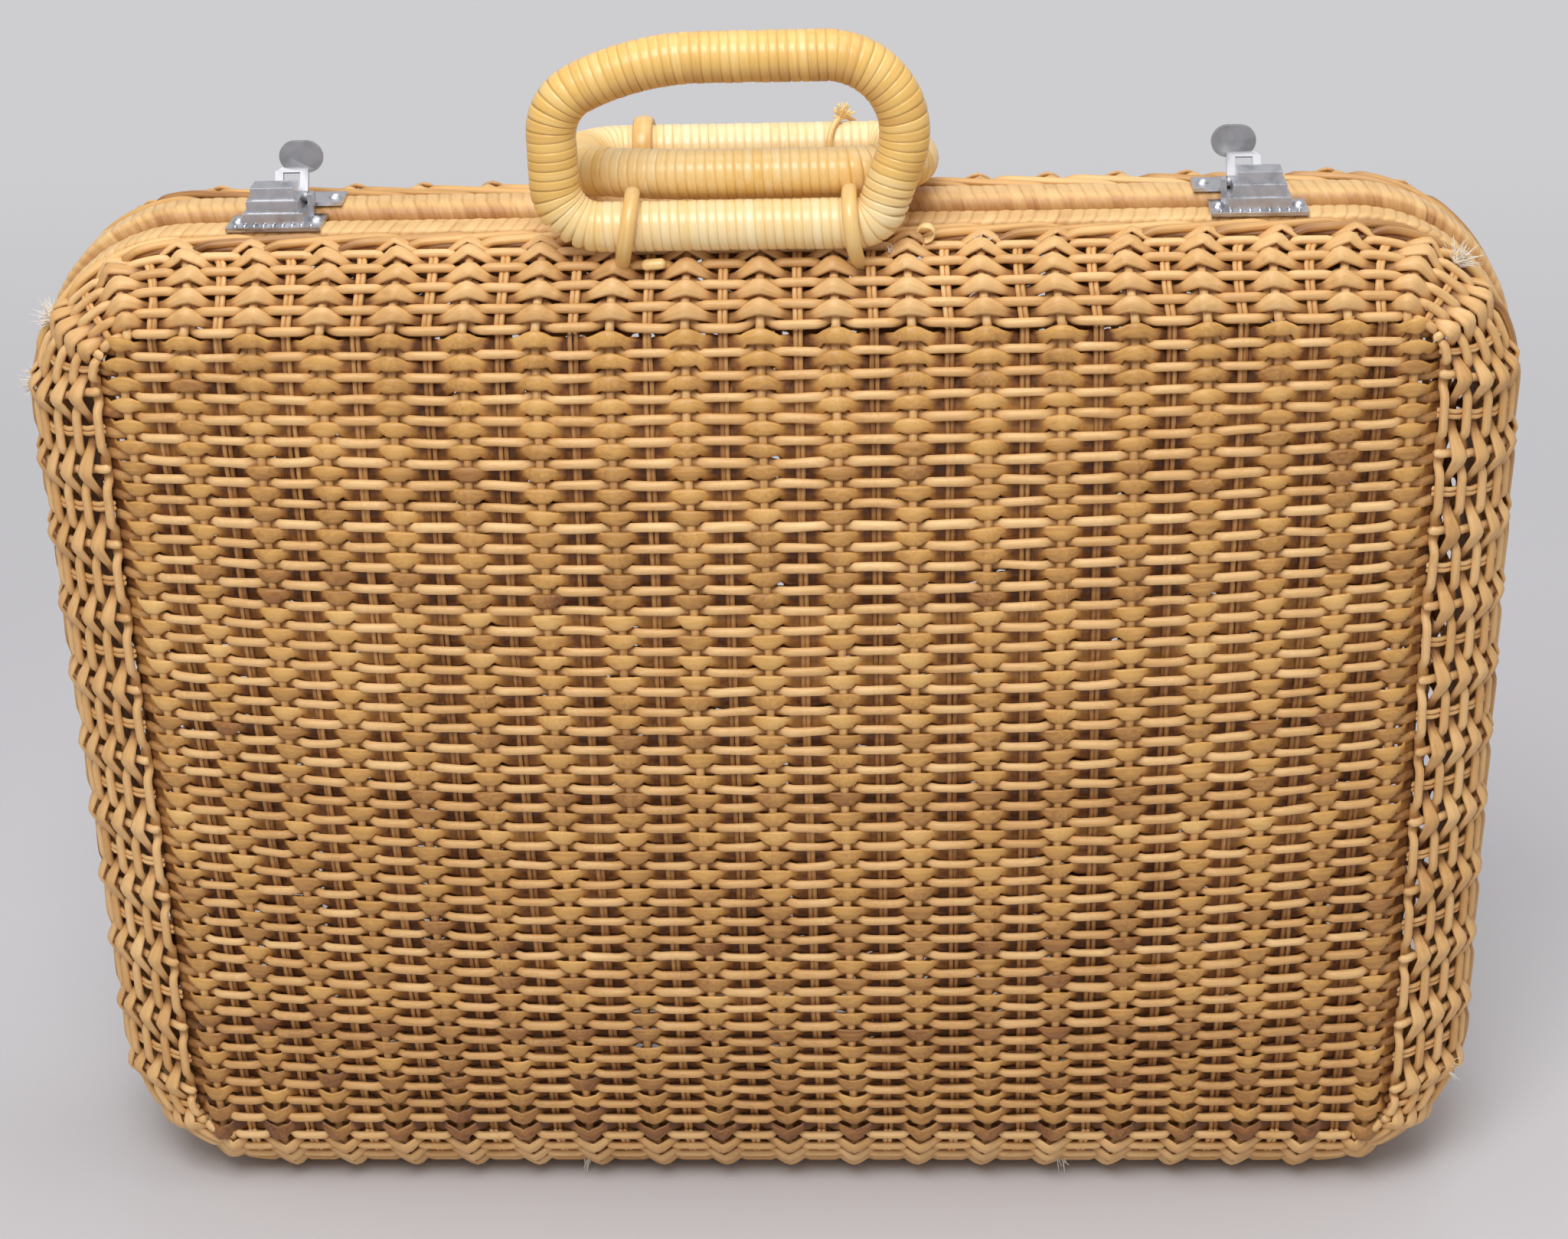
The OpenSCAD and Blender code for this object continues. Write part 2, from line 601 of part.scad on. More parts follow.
// Latch pieces of one side, made for the right of the case
module side_place(side) {
    if (side > 0) children();
    else mirror([1, 0, 0]) children();
}
module latch_plate(side) {
    color(bright_steel) side_place(side) difference() {
        union() {
            translate([latch_x - plate_w / 2, -plate_d - seam_gap, case_h]) cube([plate_w, plate_d, plate_t]);
            for (k = [0:floor((plate_w - 2 * bead_step) / bead_step)])
                translate([latch_x - plate_w / 2 + bead_step * (k + 1), -plate_d - seam_gap + 1.2, case_h + plate_t])
                    sphere(bead_r);
        }
        for (end = [-1, 1]) translate([latch_x + end * plate_rivet_x, -plate_rivet_y, case_h + plate_t])
            rivet_hole(plate_t + 1);
    }
}
module latch_housing(side) {
    x0 = latch_x - hasp_shift - hasp_w / 2 - hasp_side_gap;
    ear_foot = case_h + plate_t;
    color(bright_steel) side_place(side) difference() {
        union() {
            for (k = [0:2])
                translate([latch_x - step_w / 2 + k * step_in, -step_d - step_back + k * step_in * 0.7,
                           case_h + plate_t])
                    cube([step_w - 2 * k * step_in, step_d - k * step_in * 0.7, step_h * (k + 1)]);
            for (x = [x0 - ear_t, x0 + hasp_w + 2 * hasp_side_gap]) hull() {
                translate([x, hasp_pin_y, hasp_pin_z]) rotate([0, 90, 0]) cylinder(h = ear_t, r = hasp_knuckle_r);
                translate([x, -step_back - 1, ear_foot]) cube([ear_t, 1, hasp_pin_z + hasp_knuckle_r - ear_foot]);
            }
        }
        translate([0, hasp_pin_y, hasp_pin_z]) rotate([0, 90, 0]) cylinder(h = 2 * latch_x, r = hasp_pin_r);
    }
}
module latch_pin(side) {
    x0 = latch_x - hasp_shift - hasp_w / 2 - hasp_side_gap - ear_t;
    color(bright_steel) side_place(side) translate([x0, hasp_pin_y, hasp_pin_z]) rotate([0, 90, 0])
        cylinder(h = hasp_w + 2 * hasp_side_gap + 2 * ear_t, r = hasp_pin_r);
}
module hasp(side) {
    color(bright_steel) side_place(side) translate([latch_x - hasp_shift, hasp_pin_y, hasp_pin_z]) {
        rotate([hasp_lift, 0, 0]) difference() {
            union() {
                rod_x(hasp_w, hasp_knuckle_r);
                translate([0, 0, -hasp_t / 2]) linear_extrude(hasp_t) polygon([[-hasp_w / 2, 0], [hasp_w / 2, 0],
                    [hasp_w / 2, hasp_len - 1.2], [hasp_w / 2 - 2, hasp_len], [-hasp_w / 2, hasp_len]]);
            }
            rod_x(2 * hasp_w, hasp_pin_r + pin_gap);
            translate([-slot_w / 2, slot_start, -hasp_t]) cube([slot_w, slot_end - slot_start, 2 * hasp_t]);
        }
        translate([-tab_shift, hasp_len * cos(hasp_lift), hasp_len * sin(hasp_lift) + tab_h * 0.36]) tab();
    }
}
// Rounded plate standing across the case, its ends two discs
module tab() {
    end_r = tab_h / 2;
    rotate([90, 0, 0]) translate([0, 0, -hasp_t / 2]) {
        for (end = [-1, 1]) translate([end * (tab_w / 2 - end_r), 0, 0]) cylinder(h = hasp_t, r = end_r);
        translate([end_r - tab_w / 2, -end_r, 0]) cube([tab_w - 2 * end_r, 2 * end_r, hasp_t]);
    }
}
module catch_plate(side) {
    x0 = latch_x - catch_shift;
    color(bright_steel) side_place(side) difference() {
        union() {
            translate([x0 - catch_w / 2, catch_y, back_h]) cube([catch_w, catch_d, plate_t]);
            translate([latch_x - hasp_shift - lug_w / 2, hasp_pin_y + (slot_start + slot_end - lug_d) / 2, back_h])
                cube([lug_w, lug_d, plate_t + lug_h]);
        }
        for (end = [-1, 1]) translate([x0 + end * catch_rivet_x, catch_y + catch_d / 2, back_h + plate_t])
            rivet_hole(plate_t + 1);
    }
}
module latch_rivets() { color(bright_steel) latch_rivet_places() rivet(plate_t + rivet_len); }
module catch_rivets() { color(bright_steel) catch_rivet_places() rivet(plate_t + rivet_len); }

// Hinge pieces
module front_leaf(side) { color(bright_steel) translate([side * hinge_x, 0, 0]) leaf(true); }
module back_leaf(side) { color(bright_steel) translate([side * hinge_x, 0, 0]) mirror([0, 1, 0]) leaf(false); }
module lid_pin(side) { color(bright_steel) translate([side * hinge_x, 0, 0]) hinge_pin(); }
module hinge_rivets_front() { color(bright_steel) hinge_rivet_places() hinge_rivet(); }
module hinge_rivets_back() { color(bright_steel) hinge_rivet_places() mirror([0, 1, 0]) hinge_rivet(); }

front_shell();
front_border();
front_rim_core();
front_rim_binding();
front_handle_ties();
front_handle_rod();
front_handle_binding();
back_shell();
back_border();
back_rim_core();
back_rim_binding();
back_handle_ties();
back_handle_rod();
back_handle_binding();
latch_plate(-1);  // latch_plate_left
latch_plate(1);  // latch_plate_right
latch_housing(-1);  // latch_housing_left
latch_housing(1);  // latch_housing_right
latch_pin(-1);  // latch_pin_left
latch_pin(1);  // latch_pin_right
hasp(-1);  // hasp_left
hasp(1);  // hasp_right
catch_plate(-1);  // catch_plate_left
catch_plate(1);  // catch_plate_right
latch_rivets();
catch_rivets();
front_leaf(-1);  // hinge_front_leaf_left
front_leaf(1);  // hinge_front_leaf_right
back_leaf(-1);  // hinge_back_leaf_left
back_leaf(1);  // hinge_back_leaf_right
lid_pin(-1);  // hinge_pin_left
lid_pin(1);  // hinge_pin_right
hinge_rivets_front();
hinge_rivets_back();
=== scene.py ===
"""A woven rattan suitcase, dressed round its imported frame.

Every piece is a surface worked out with numpy in metres, in the frame's own axes: x along the case,
y from the front half to the back half, z up from the floor under the closed case.
"""

from __future__ import annotations

import json
import logging
import math
from dataclasses import dataclass, field
from enum import Enum

import bmesh
import bpy
import numpy as np
from mathutils import Matrix, Vector

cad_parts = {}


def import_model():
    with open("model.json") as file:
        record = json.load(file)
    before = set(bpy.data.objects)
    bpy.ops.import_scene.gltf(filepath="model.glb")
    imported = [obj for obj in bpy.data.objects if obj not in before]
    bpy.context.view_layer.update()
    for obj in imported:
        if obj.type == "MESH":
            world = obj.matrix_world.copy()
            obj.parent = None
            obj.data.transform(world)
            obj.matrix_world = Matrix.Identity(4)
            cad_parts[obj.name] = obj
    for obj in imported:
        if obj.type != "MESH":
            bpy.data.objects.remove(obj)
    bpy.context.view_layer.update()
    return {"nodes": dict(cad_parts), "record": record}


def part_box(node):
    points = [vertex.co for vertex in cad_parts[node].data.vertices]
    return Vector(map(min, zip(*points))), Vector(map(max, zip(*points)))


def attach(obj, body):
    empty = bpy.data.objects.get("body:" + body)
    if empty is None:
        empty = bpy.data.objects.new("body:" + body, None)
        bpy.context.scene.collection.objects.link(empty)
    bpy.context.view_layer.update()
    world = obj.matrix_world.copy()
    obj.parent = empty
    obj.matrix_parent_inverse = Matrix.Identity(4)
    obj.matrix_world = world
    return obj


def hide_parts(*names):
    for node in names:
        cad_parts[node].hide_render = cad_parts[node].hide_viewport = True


LOG = logging.getLogger("wicker_suitcase")
MM = 0.001
TAU = 2.0 * math.pi
Socket = bpy.types.NodeSocket


class Half(Enum):
    """The two halves of the case, by the side of the seam they lie on."""

    FRONT = -1
    BACK = 1

    @property
    def word(self) -> str:
        """The half's name at the start of its nodes' names."""
        return self.name.lower()

    @property
    def body(self) -> str:
        """The body of the frame that the half is."""
        return f"{self.word}_half"

    @property
    def handle_body(self) -> str:
        """The body of the frame that the half's handle is."""
        return f"{self.word}_handle"


def linear(rgb: tuple[int, int, int]) -> tuple[float, float, float, float]:
    """Turns a colour as a screen shows it, 0 to 255, into the linear colour a shader takes.

    Args:
        rgb: Red, green and blue, each 0 to 255.

    Returns:
        Linear red, green, blue and an alpha of 1.
    """
    parts = [c / 255 for c in rgb]
    out = [c / 12.92 if c <= 0.04045 else ((c + 0.055) / 1.055) ** 2.4 for c in parts]
    return (out[0], out[1], out[2], 1.0)


def smooth(x: np.ndarray) -> np.ndarray:
    """Eases 0 to 1 with level ends, as 3x^2 - 2x^3, and holds outside."""
    x = np.clip(x, 0.0, 1.0)
    return x * x * (3.0 - 2.0 * x)


def ease(x: np.ndarray, start: float, run: float) -> np.ndarray:
    """Eases from 0 to 1 while x goes on from a start over a run."""
    return smooth((x - start) / run)


def fall(x: np.ndarray, stop: float, run: float) -> np.ndarray:
    """Eases from 1 to 0 while x comes up to a stop over a run."""
    return smooth((stop - x) / run)


def unit(v: np.ndarray) -> np.ndarray:
    """Scales each vector of an array to a length of one."""
    return v / np.maximum(np.linalg.norm(v, axis=-1, keepdims=True), 1e-12)


def link_object(name: str, data: bpy.types.ID) -> bpy.types.Object:
    """Makes an object of its data and links it to the scene.

    Args:
        name: Name of the object.
        data: Its mesh, lamp or camera.

    Returns:
        The object.
    """
    made = bpy.data.objects.new(name, data)
    bpy.context.scene.collection.objects.link(made)
    return made


@dataclass
class Skin:
    """A mesh being gathered from grids of points, with a strand record on each point.

    The record is a colour attribute named cane: red is the strand's own tone, green the length along
    it in metres, blue the turn round it and alpha the painted shade that darkens the point, mostly for
    how deep it lies under its neighbours.
    """

    points: list[np.ndarray] = field(default_factory=list)
    marks: list[np.ndarray] = field(default_factory=list)
    quads: list[np.ndarray] = field(default_factory=list)
    caps: list[np.ndarray] = field(default_factory=list)
    count: int = 0

    def store(self, points: np.ndarray, *marks: np.ndarray | float) -> np.ndarray:
        """Adds points with their records.

        Args:
            points: Positions, with the coordinate on the last axis.
            marks: Tone, length, turn and the painted shade of depth, each of which spreads over the grid.

        Returns:
            The index of each point, in the shape of the grid.
        """
        shape = points.shape[:-1]
        total = int(np.prod(shape))
        self.points.append(points.reshape(-1, 3))
        record = np.stack([np.broadcast_to(mark, shape) for mark in marks], axis=-1)
        self.marks.append(record.reshape(-1, 4))
        index = np.arange(self.count, self.count + total).reshape(shape)
        self.count += total
        return index

    def strands(
        self,
        path: np.ndarray,
        normal: np.ndarray,
        half_width: np.ndarray | float,
        half_thick: np.ndarray | float,
        sides: int,
        tone: np.ndarray | float,
        under: np.ndarray | float = 0.0,
        closed: bool = False,
    ) -> None:
        """Sweeps an oval section along many paths at once.

        A point is the path's point, plus the side vector times half the width times the cosine of the
        turn, plus the normal times half the thickness times its sine.

        Args:
            path: Centre lines, strands by points by 3.
            normal: Direction of the thickness at each point, the same shape.
            half_width: Half the section's width, for each point or for all.
            half_thick: Half its thickness, for each point or for all.
            sides: Number of sides of the section.
            tone: Tone of each strand, 0 to 1, or of each point.
            under: Painted shade of each point, for how deep it lies under its neighbours, 0 to 1.
            closed: Whether each path joins its own start.
        """
        m, n = path.shape[:2]
        if closed:
            tangent = np.roll(path, -1, axis=1) - np.roll(path, 1, axis=1)
        else:
            tangent = np.gradient(path, axis=1)
        tangent = unit(tangent)
        normal = unit(normal - tangent * np.sum(normal * tangent, axis=-1, keepdims=True))
        side = np.cross(normal, tangent)
        turn = TAU * np.arange(sides) / sides
        width = np.broadcast_to(half_width, (m, n))[..., None, None]
        thick = np.broadcast_to(half_thick, (m, n))[..., None, None]
        rings = (
            path[:, :, None, :]
            + side[:, :, None, :] * width * np.cos(turn)[None, None, :, None]
            + normal[:, :, None, :] * thick * np.sin(turn)[None, None, :, None]
        )
        steps = np.linalg.norm(np.diff(path, axis=1), axis=-1)
        along = np.concatenate([np.zeros((m, 1)), np.cumsum(steps, axis=1)], axis=1)
        tone = np.asarray(tone, float)
        tone = np.broadcast_to(tone[:, None] if tone.ndim == 1 else tone, (m, n))
        around = np.abs(turn / TAU - 0.5) * 2.0
        # The record's alpha carries the painted shade.
        deep = np.broadcast_to(under, (m, n))[..., None]
        index = self.store(rings, tone[..., None], along[..., None], around, deep)
        onward = np.roll(index, -1, axis=1) if closed else index[:, 1:]
        here = index if closed else index[:, :-1]
        corners = [here, np.roll(here, -1, axis=2), np.roll(onward, -1, axis=2), onward]
        self.quads.append(np.stack(corners, axis=-1).reshape(-1, 4))
        if not closed:
            self.caps.append(np.concatenate([index[:, 0, ::-1], index[:, -1, :]]))

    def winding(
        self,
        rings: np.ndarray,
        tone: np.ndarray,
        along: np.ndarray,
        rings_a_turn: int,
        slant: int = 1,
        under: np.ndarray | float = 0.0,
    ) -> None:
        """Adds a closed helical skin, whose last column joins the first column some turns further on.

        Args:
            rings: Points, rings along the core by points round it by 3, without the repeated column.
            tone: Tone of each ring's strip.
            along: Length along the strip in metres, the shape of the grid.
            rings_a_turn: Rings that one turn of the strip takes.
            slant: Turns that the skin moves on in going round once.
            under: How much painted shade darkens each point, 0 to 1.
        """
        part = (np.arange(len(rings)) % rings_a_turn / rings_a_turn)[:, None]
        index = self.store(rings, tone[:, None], along, part, under)
        wide = np.concatenate([index, np.roll(index[:, :1], -rings_a_turn * slant, axis=0)], axis=1)
        nxt = np.roll(wide, -1, axis=0)
        faces = np.stack([wide[:, :-1], wide[:, 1:], nxt[:, 1:], nxt[:, :-1]], axis=-1).reshape(-1, 4)
        flat = rings.reshape(-1, 3)
        local = faces - index.min()
        a, b, c, d = (flat[local[:, k]] for k in range(4))
        volume = np.sum(a * np.cross(b, c)) + np.sum(a * np.cross(c, d))
        self.quads.append(faces if volume > 0 else faces[:, ::-1])

    def mesh(self, name: str) -> bpy.types.Object:
        """Makes the object, smooth shaded, with its strand record.

        Args:
            name: Name of the object and its mesh.

        Returns:
            The new object, linked to the scene.
        """
        points = np.concatenate(self.points)
        marks = np.concatenate(self.marks).astype(np.float32)
        quads = np.concatenate(self.quads)
        loops = [quads.reshape(-1)]
        starts = [np.arange(len(quads)) * 4]
        at = len(quads) * 4
        for caps in self.caps:
            loops.append(caps.reshape(-1))
            starts.append(at + np.arange(len(caps)) * caps.shape[1])
            at += caps.size
        data = bpy.data.meshes.new(name)
        data.vertices.add(len(points))
        data.vertices.foreach_set("co", points.astype(np.float32).ravel())
        data.loops.add(at)
        data.loops.foreach_set("vertex_index", np.concatenate(loops).astype(np.int32))
        start = np.concatenate(starts).astype(np.int32)
        data.polygons.add(len(start))
        data.polygons.foreach_set("loop_start", start)
        data.polygons.foreach_set("use_smooth", np.ones(len(start), bool))
        data.update(calc_edges=True)
        data.validate()
        cane = data.attributes.new("cane", "FLOAT_COLOR", "POINT")
        cane.data.foreach_set("color", marks.ravel())
        return link_object(name, data)


class Graph:
    """A material's nodes round its shader, with short ways to add and join them."""

    def __init__(self, name: str) -> None:
        """Makes the material with its plain shader.

        Args:
            name: Name of the material.
        """
        self.material = bpy.data.materials.new(name)
        self.material.use_nodes = True
        self.tree = self.material.node_tree
        self.link = self.tree.links.new
        self.shader = self.tree.nodes["Principled BSDF"]

    @staticmethod
    def fill(node: bpy.types.Node, **values: float) -> None:
        """Sets a node's inputs, whose names have low lines in place of spaces."""
        for key, value in values.items():
            node.inputs[key.replace("_", " ")].default_value = value

    def node(self, kind: str, **values: float) -> bpy.types.Node:
        """Adds a node and sets its inputs.

        Args:
            kind: The node's type, after the word for shader nodes.
            values: Its inputs by name, with low lines in place of spaces.

        Returns:
            The node.
        """
        made = self.tree.nodes.new(f"ShaderNode{kind}")
        self.fill(made, **values)
        return made

    def maths(self, kind: str, a: Socket, b: Socket | float) -> Socket:
        """Joins two values, or a value and a number.

        Args:
            kind: Name of the operation.
            a: The first value.
            b: The second value, or a number.

        Returns:
            The result's socket.
        """
        made = self.node("Math")
        made.operation = kind
        self.link(a, made.inputs[0])
        if isinstance(b, float):
            made.inputs[1].default_value = b
        else:
            self.link(b, made.inputs[1])
        return made.outputs[0]

    def centred(self, value: Socket, size: float) -> Socket:
        """Takes a half off a value of 0 to 1 and scales it."""
        return self.maths("MULTIPLY", self.maths("SUBTRACT", value, 0.5), size)

    def noise(self, place: Socket, scale: float, detail: float, rough: float) -> Socket:
        """Adds a noise texture at a place.

        Args:
            place: Coordinates that it is read at.
            scale: Its cells in a metre.
            detail: Number of finer layers.
            rough: How strong the finer layers are.

        Returns:
            The noise's value, about 0 to 1.
        """
        made = self.node("TexNoise", Scale=scale, Detail=detail, Roughness=rough)
        self.link(place, made.inputs["Vector"])
        return made.outputs["Fac"]

    def ramp(self, value: Socket, stops: tuple[tuple[float, tuple[float, ...]], ...]) -> Socket:
        """Turns a value into a colour by stops.

        Args:
            value: The value, 0 to 1.
            stops: Places and linear colours, from the lowest place to the highest.

        Returns:
            The colour's socket.
        """
        made = self.node("ValToRGB")
        elements = made.color_ramp.elements
        for element, (place, colour) in zip(elements, (stops[0], stops[-1])):
            element.position = place
            element.color = colour
        for place, colour in stops[1:-1]:
            elements.new(place).color = colour
        self.link(value, made.inputs[0])
        return made.outputs[0]

    def bump(self, height: Socket, strength: float, distance: float) -> None:
        """Raises the shader's surface.

        Args:
            height: How high each point stands, 0 to 1.
            strength: How much of that is seen, 0 to 1.
            distance: The height of 1, in metres.
        """
        made = self.node("Bump", Strength=strength, Distance=distance)
        self.link(height, made.inputs["Height"])
        self.link(made.outputs[0], self.shader.inputs["Normal"])


@dataclass(frozen=True)
class CaneFinish:
    """Rattan or cane: streaked along each strand, with its own tone, gloss and fine fibres.

    The grain is how often the fibres change along a strand, round it and from tone to tone, and the
    hollow is how much of the dark colour's red, green and blue is left in the deepest painted shade.
    """

    name: str
    light: tuple[int, int, int]
    middle: tuple[int, int, int]
    dark: tuple[int, int, int]
    rough: float = 0.5
    coat: float = 0.1
    streak: float = 0.5
    stain: float = 0.35
    relief: float = 0.25
    grain: tuple[float, float, float] = (45.0, 5.0, 71.0)
    hollow: tuple[float, float, float] = (0.42, 0.38, 0.36)
    shade: float = 0.34

    def material(self) -> bpy.types.Material:
        """Builds the node material.

        The tone, plus streaks, plus stains, less the painted shade of what lies deep, picks the colour.

        Returns:
            A material that reads the strand record and object coordinates.
        """
        graph = Graph(self.name)
        graph.fill(graph.shader, Coat_Weight=self.coat, Coat_Roughness=0.25, IOR=1.48)
        record = graph.node("Attribute")
        record.attribute_name = "cane"
        parts = graph.node("SeparateColor")
        graph.link(record.outputs["Color"], parts.inputs[0])
        tone, along, around = parts.outputs
        fibre_at = graph.node("CombineXYZ")
        for part, often, target in zip((along, around, tone), self.grain, fibre_at.inputs):
            graph.link(graph.maths("MULTIPLY", part, often), target)
        fibre = graph.noise(fibre_at.outputs[0], 1.0, 4.0, 0.65)
        place = graph.node("TexCoord").outputs["Object"]
        blotch = graph.noise(place, 24.0, 3.0, 0.55)
        fine = graph.noise(place, 900.0, 2.0, 0.6)

        value = graph.maths("ADD", tone, graph.centred(fibre, self.streak))
        value = graph.maths("ADD", value, graph.centred(blotch, self.stain))
        # Painted shade: the record's alpha darkens the colour, down to the hollow stop.
        value = graph.maths("SUBTRACT", value, graph.maths("MULTIPLY", record.outputs["Alpha"], self.shade))
        deep = linear(self.dark)
        deepest = tuple(part * left for part, left in zip(deep, self.hollow)) + (1.0,)
        stops = ((0.0, deepest), (0.14, deep), (0.5, linear(self.middle)), (0.88, linear(self.light)))
        graph.link(graph.ramp(value, stops), graph.shader.inputs["Base Color"])
        rough = graph.maths("ADD", graph.centred(fibre, 0.25), self.rough)
        graph.link(rough, graph.shader.inputs["Roughness"])
        graph.bump(graph.maths("ADD", fibre, graph.maths("MULTIPLY", fine, 0.4)), self.relief, 0.25 * MM)
        return graph.material


@dataclass(frozen=True)
class MetalFinish:
    """Plated or plain sheet metal, with faint scratches and dull patches."""

    name: str
    colour: tuple[int, int, int]
    rough: float = 0.16
    wear: float = 0.2
    dulled: float = 0.78

    def material(self) -> bpy.types.Material:
        """Builds the node material.

        Returns:
            A material that reads object coordinates only.
        """
        graph = Graph(self.name)
        graph.fill(graph.shader, Metallic=1.0)
        patches = graph.noise(graph.node("TexCoord").outputs["Object"], 260.0, 5.0, 0.5)
        bright = linear(self.colour)
        dull = tuple(part * self.dulled for part in bright[:3]) + (1.0,)
        graph.link(graph.ramp(patches, ((0.3, dull), (0.55, bright))), graph.shader.inputs["Base Color"])
        roughest = self.rough + self.wear
        spread = graph.node("MapRange", From_Min=0.35, From_Max=0.7, To_Min=self.rough, To_Max=roughest)
        graph.link(patches, spread.inputs["Value"])
        graph.link(spread.outputs[0], graph.shader.inputs["Roughness"])
        graph.bump(patches, 0.12, 0.1 * MM)
        return graph.material


@dataclass(frozen=True)
class Finishes:
    """All the finishes of the case, each made once."""

    weave: CaneFinish = CaneFinish(
        "woven_rattan", (246, 205, 146), (216, 166, 104), (158, 108, 60), rough=0.5, coat=0.06
    )
    reed: CaneFinish = CaneFinish(
        "flat_reed", (240, 196, 126), (212, 160, 88), (146, 94, 48), rough=0.46, coat=0.08
    )
    border: CaneFinish = CaneFinish(
        "border_rattan", (246, 206, 142), (220, 170, 104), (156, 106, 58), rough=0.46, coat=0.08
    )
    rim: CaneFinish = CaneFinish(
        "rim_cane", (246, 210, 154), (228, 184, 122), (180, 126, 72), rough=0.48, coat=0.08, streak=0.4
    )
    handle: CaneFinish = CaneFinish(
        "handle_cane", (255, 236, 190), (240, 194, 108), (196, 138, 66), rough=0.36, coat=0.3, streak=0.3
    )
    tie: CaneFinish = CaneFinish(
        "tie_cane", (252, 220, 154), (234, 190, 116), (184, 130, 66), rough=0.32, coat=0.35
    )
    frayed: CaneFinish = CaneFinish(
        "frayed_fibre", (250, 244, 232), (240, 230, 214), (205, 186, 160), rough=0.7, coat=0.0
    )
    plated: MetalFinish = MetalFinish("plated_steel", (210, 211, 216), rough=0.26)
    dull: MetalFinish = MetalFinish("dulled_plate", (182, 182, 186), rough=0.5, wear=0.1)
    steel: MetalFinish = MetalFinish("hinge_steel", (176, 174, 170), rough=0.32, wear=0.2)


@dataclass(frozen=True)
class Outline:
    """A rounded rectangle in the plane of the rims, walked clockwise from the middle of its top.

    Its stations are the places of the stakes. The knots are the stakes' numbers where the bend starts
    and ends, at the rim and at the crease, and the swell is how much further apart the stakes stand in
    the middle of the crease's top and bottom.
    """

    half_w: float
    half_h: float
    corner: float
    rim_knots: tuple[float, float] = (16.0, 23.0)
    crease_knots: tuple[float, float] = (17.5, 21.75)
    quarter_stakes: int = 32
    swell: float = 0.05

    @property
    def top_run(self) -> float:
        """Half the length of the straight top."""
        return self.half_w - self.corner

    @property
    def side_run(self) -> float:
        """Half the length of a straight side."""
        return self.half_h - self.corner

    @property
    def bend_run(self) -> float:
        """Length of one bend."""
        return math.pi / 2 * self.corner

    @property
    def quarter(self) -> float:
        """Length of a quarter of the outline."""
        return self.top_run + self.bend_run + self.side_run

    @property
    def stakes(self) -> int:
        """Number of stakes round the whole outline."""
        return 4 * self.quarter_stakes

    def at_stake(self, k: np.ndarray, v: np.ndarray | float = 0.0) -> np.ndarray:
        """Turns a stake's number, whole or not, into a length along the outline.

        The stakes are evenly spaced along a bend and along the ends, and stand a little further apart
        in the middle of the crease's top and bottom. Fewer of them share the bend at the crease.

        Args:
            k: Numbers counted from the middle of the top.
            v: Shares of the band, 0 at the rim and 1 at the crease.

        Returns:
            Lengths, which go on growing past one round.
        """
        half_k, half_s = 2 * self.quarter_stakes, 2 * self.quarter
        lap = np.floor(k / half_k)
        part = k - lap * half_k
        back = part > self.quarter_stakes
        part = np.where(back, half_k - part, part)
        v = np.clip(v, 0.0, 1.0)
        first, second = (a + (b - a) * v for a, b in zip(self.rim_knots, self.crease_knots))
        top = np.clip(part / first, 0.0, 1.0)
        s = (
            self.top_run * top * (1 + self.swell * v * (1 - top * top))
            + self.bend_run * np.clip((part - first) / (second - first), 0.0, 1.0)
            + self.side_run * np.clip((part - second) / (self.quarter_stakes - second), 0.0, 1.0)
        )
        return lap * half_s + np.where(back, half_s - s, s)

    def place(
        self,
        s: np.ndarray,
        inset_x: np.ndarray | float,
        inset_y: np.ndarray | float,
        loss: np.ndarray | None = None,
    ) -> tuple[np.ndarray, np.ndarray, np.ndarray, np.ndarray]:
        """Finds points on the outline drawn in by an inset.

        A length is folded into the first quarter by the outline's two mirror lines, placed on its
        straight, bend or side there, and mirrored back.

        Args:
            s: Lengths along the outline.
            inset_x: Insets at the two ends.
            inset_y: Insets at the top and the bottom.
            loss: What is taken off the bends' radius, or None for the mean inset.

        Returns:
            The x and y of the points, and the x and y of the outward normals.
        """
        whole = 4 * self.quarter
        s = np.mod(s, whole)
        left = s > whole / 2
        s = np.where(left, whole - s, s)
        low = s > whole / 4
        s = np.where(low, whole / 2 - s, s)
        radius = self.corner - ((np.asarray(inset_x) + inset_y) / 2 if loss is None else loss)
        mid_x = self.half_w - inset_x - radius
        mid_y = self.half_h - inset_y - radius
        angle = np.clip((s - self.top_run) / self.corner, 0.0, math.pi / 2)
        x = mid_x * np.clip(s / self.top_run, 0.0, 1.0) + radius * np.sin(angle)
        down = np.clip((s - self.top_run - self.bend_run) / self.side_run, 0.0, 1.0)
        y = mid_y * (1.0 - down) + radius * np.cos(angle)
        sign_x, sign_y = np.where(left, -1.0, 1.0), np.where(low, -1.0, 1.0)
        return x * sign_x, y * sign_y, np.sin(angle) * sign_x, np.cos(angle) * sign_y


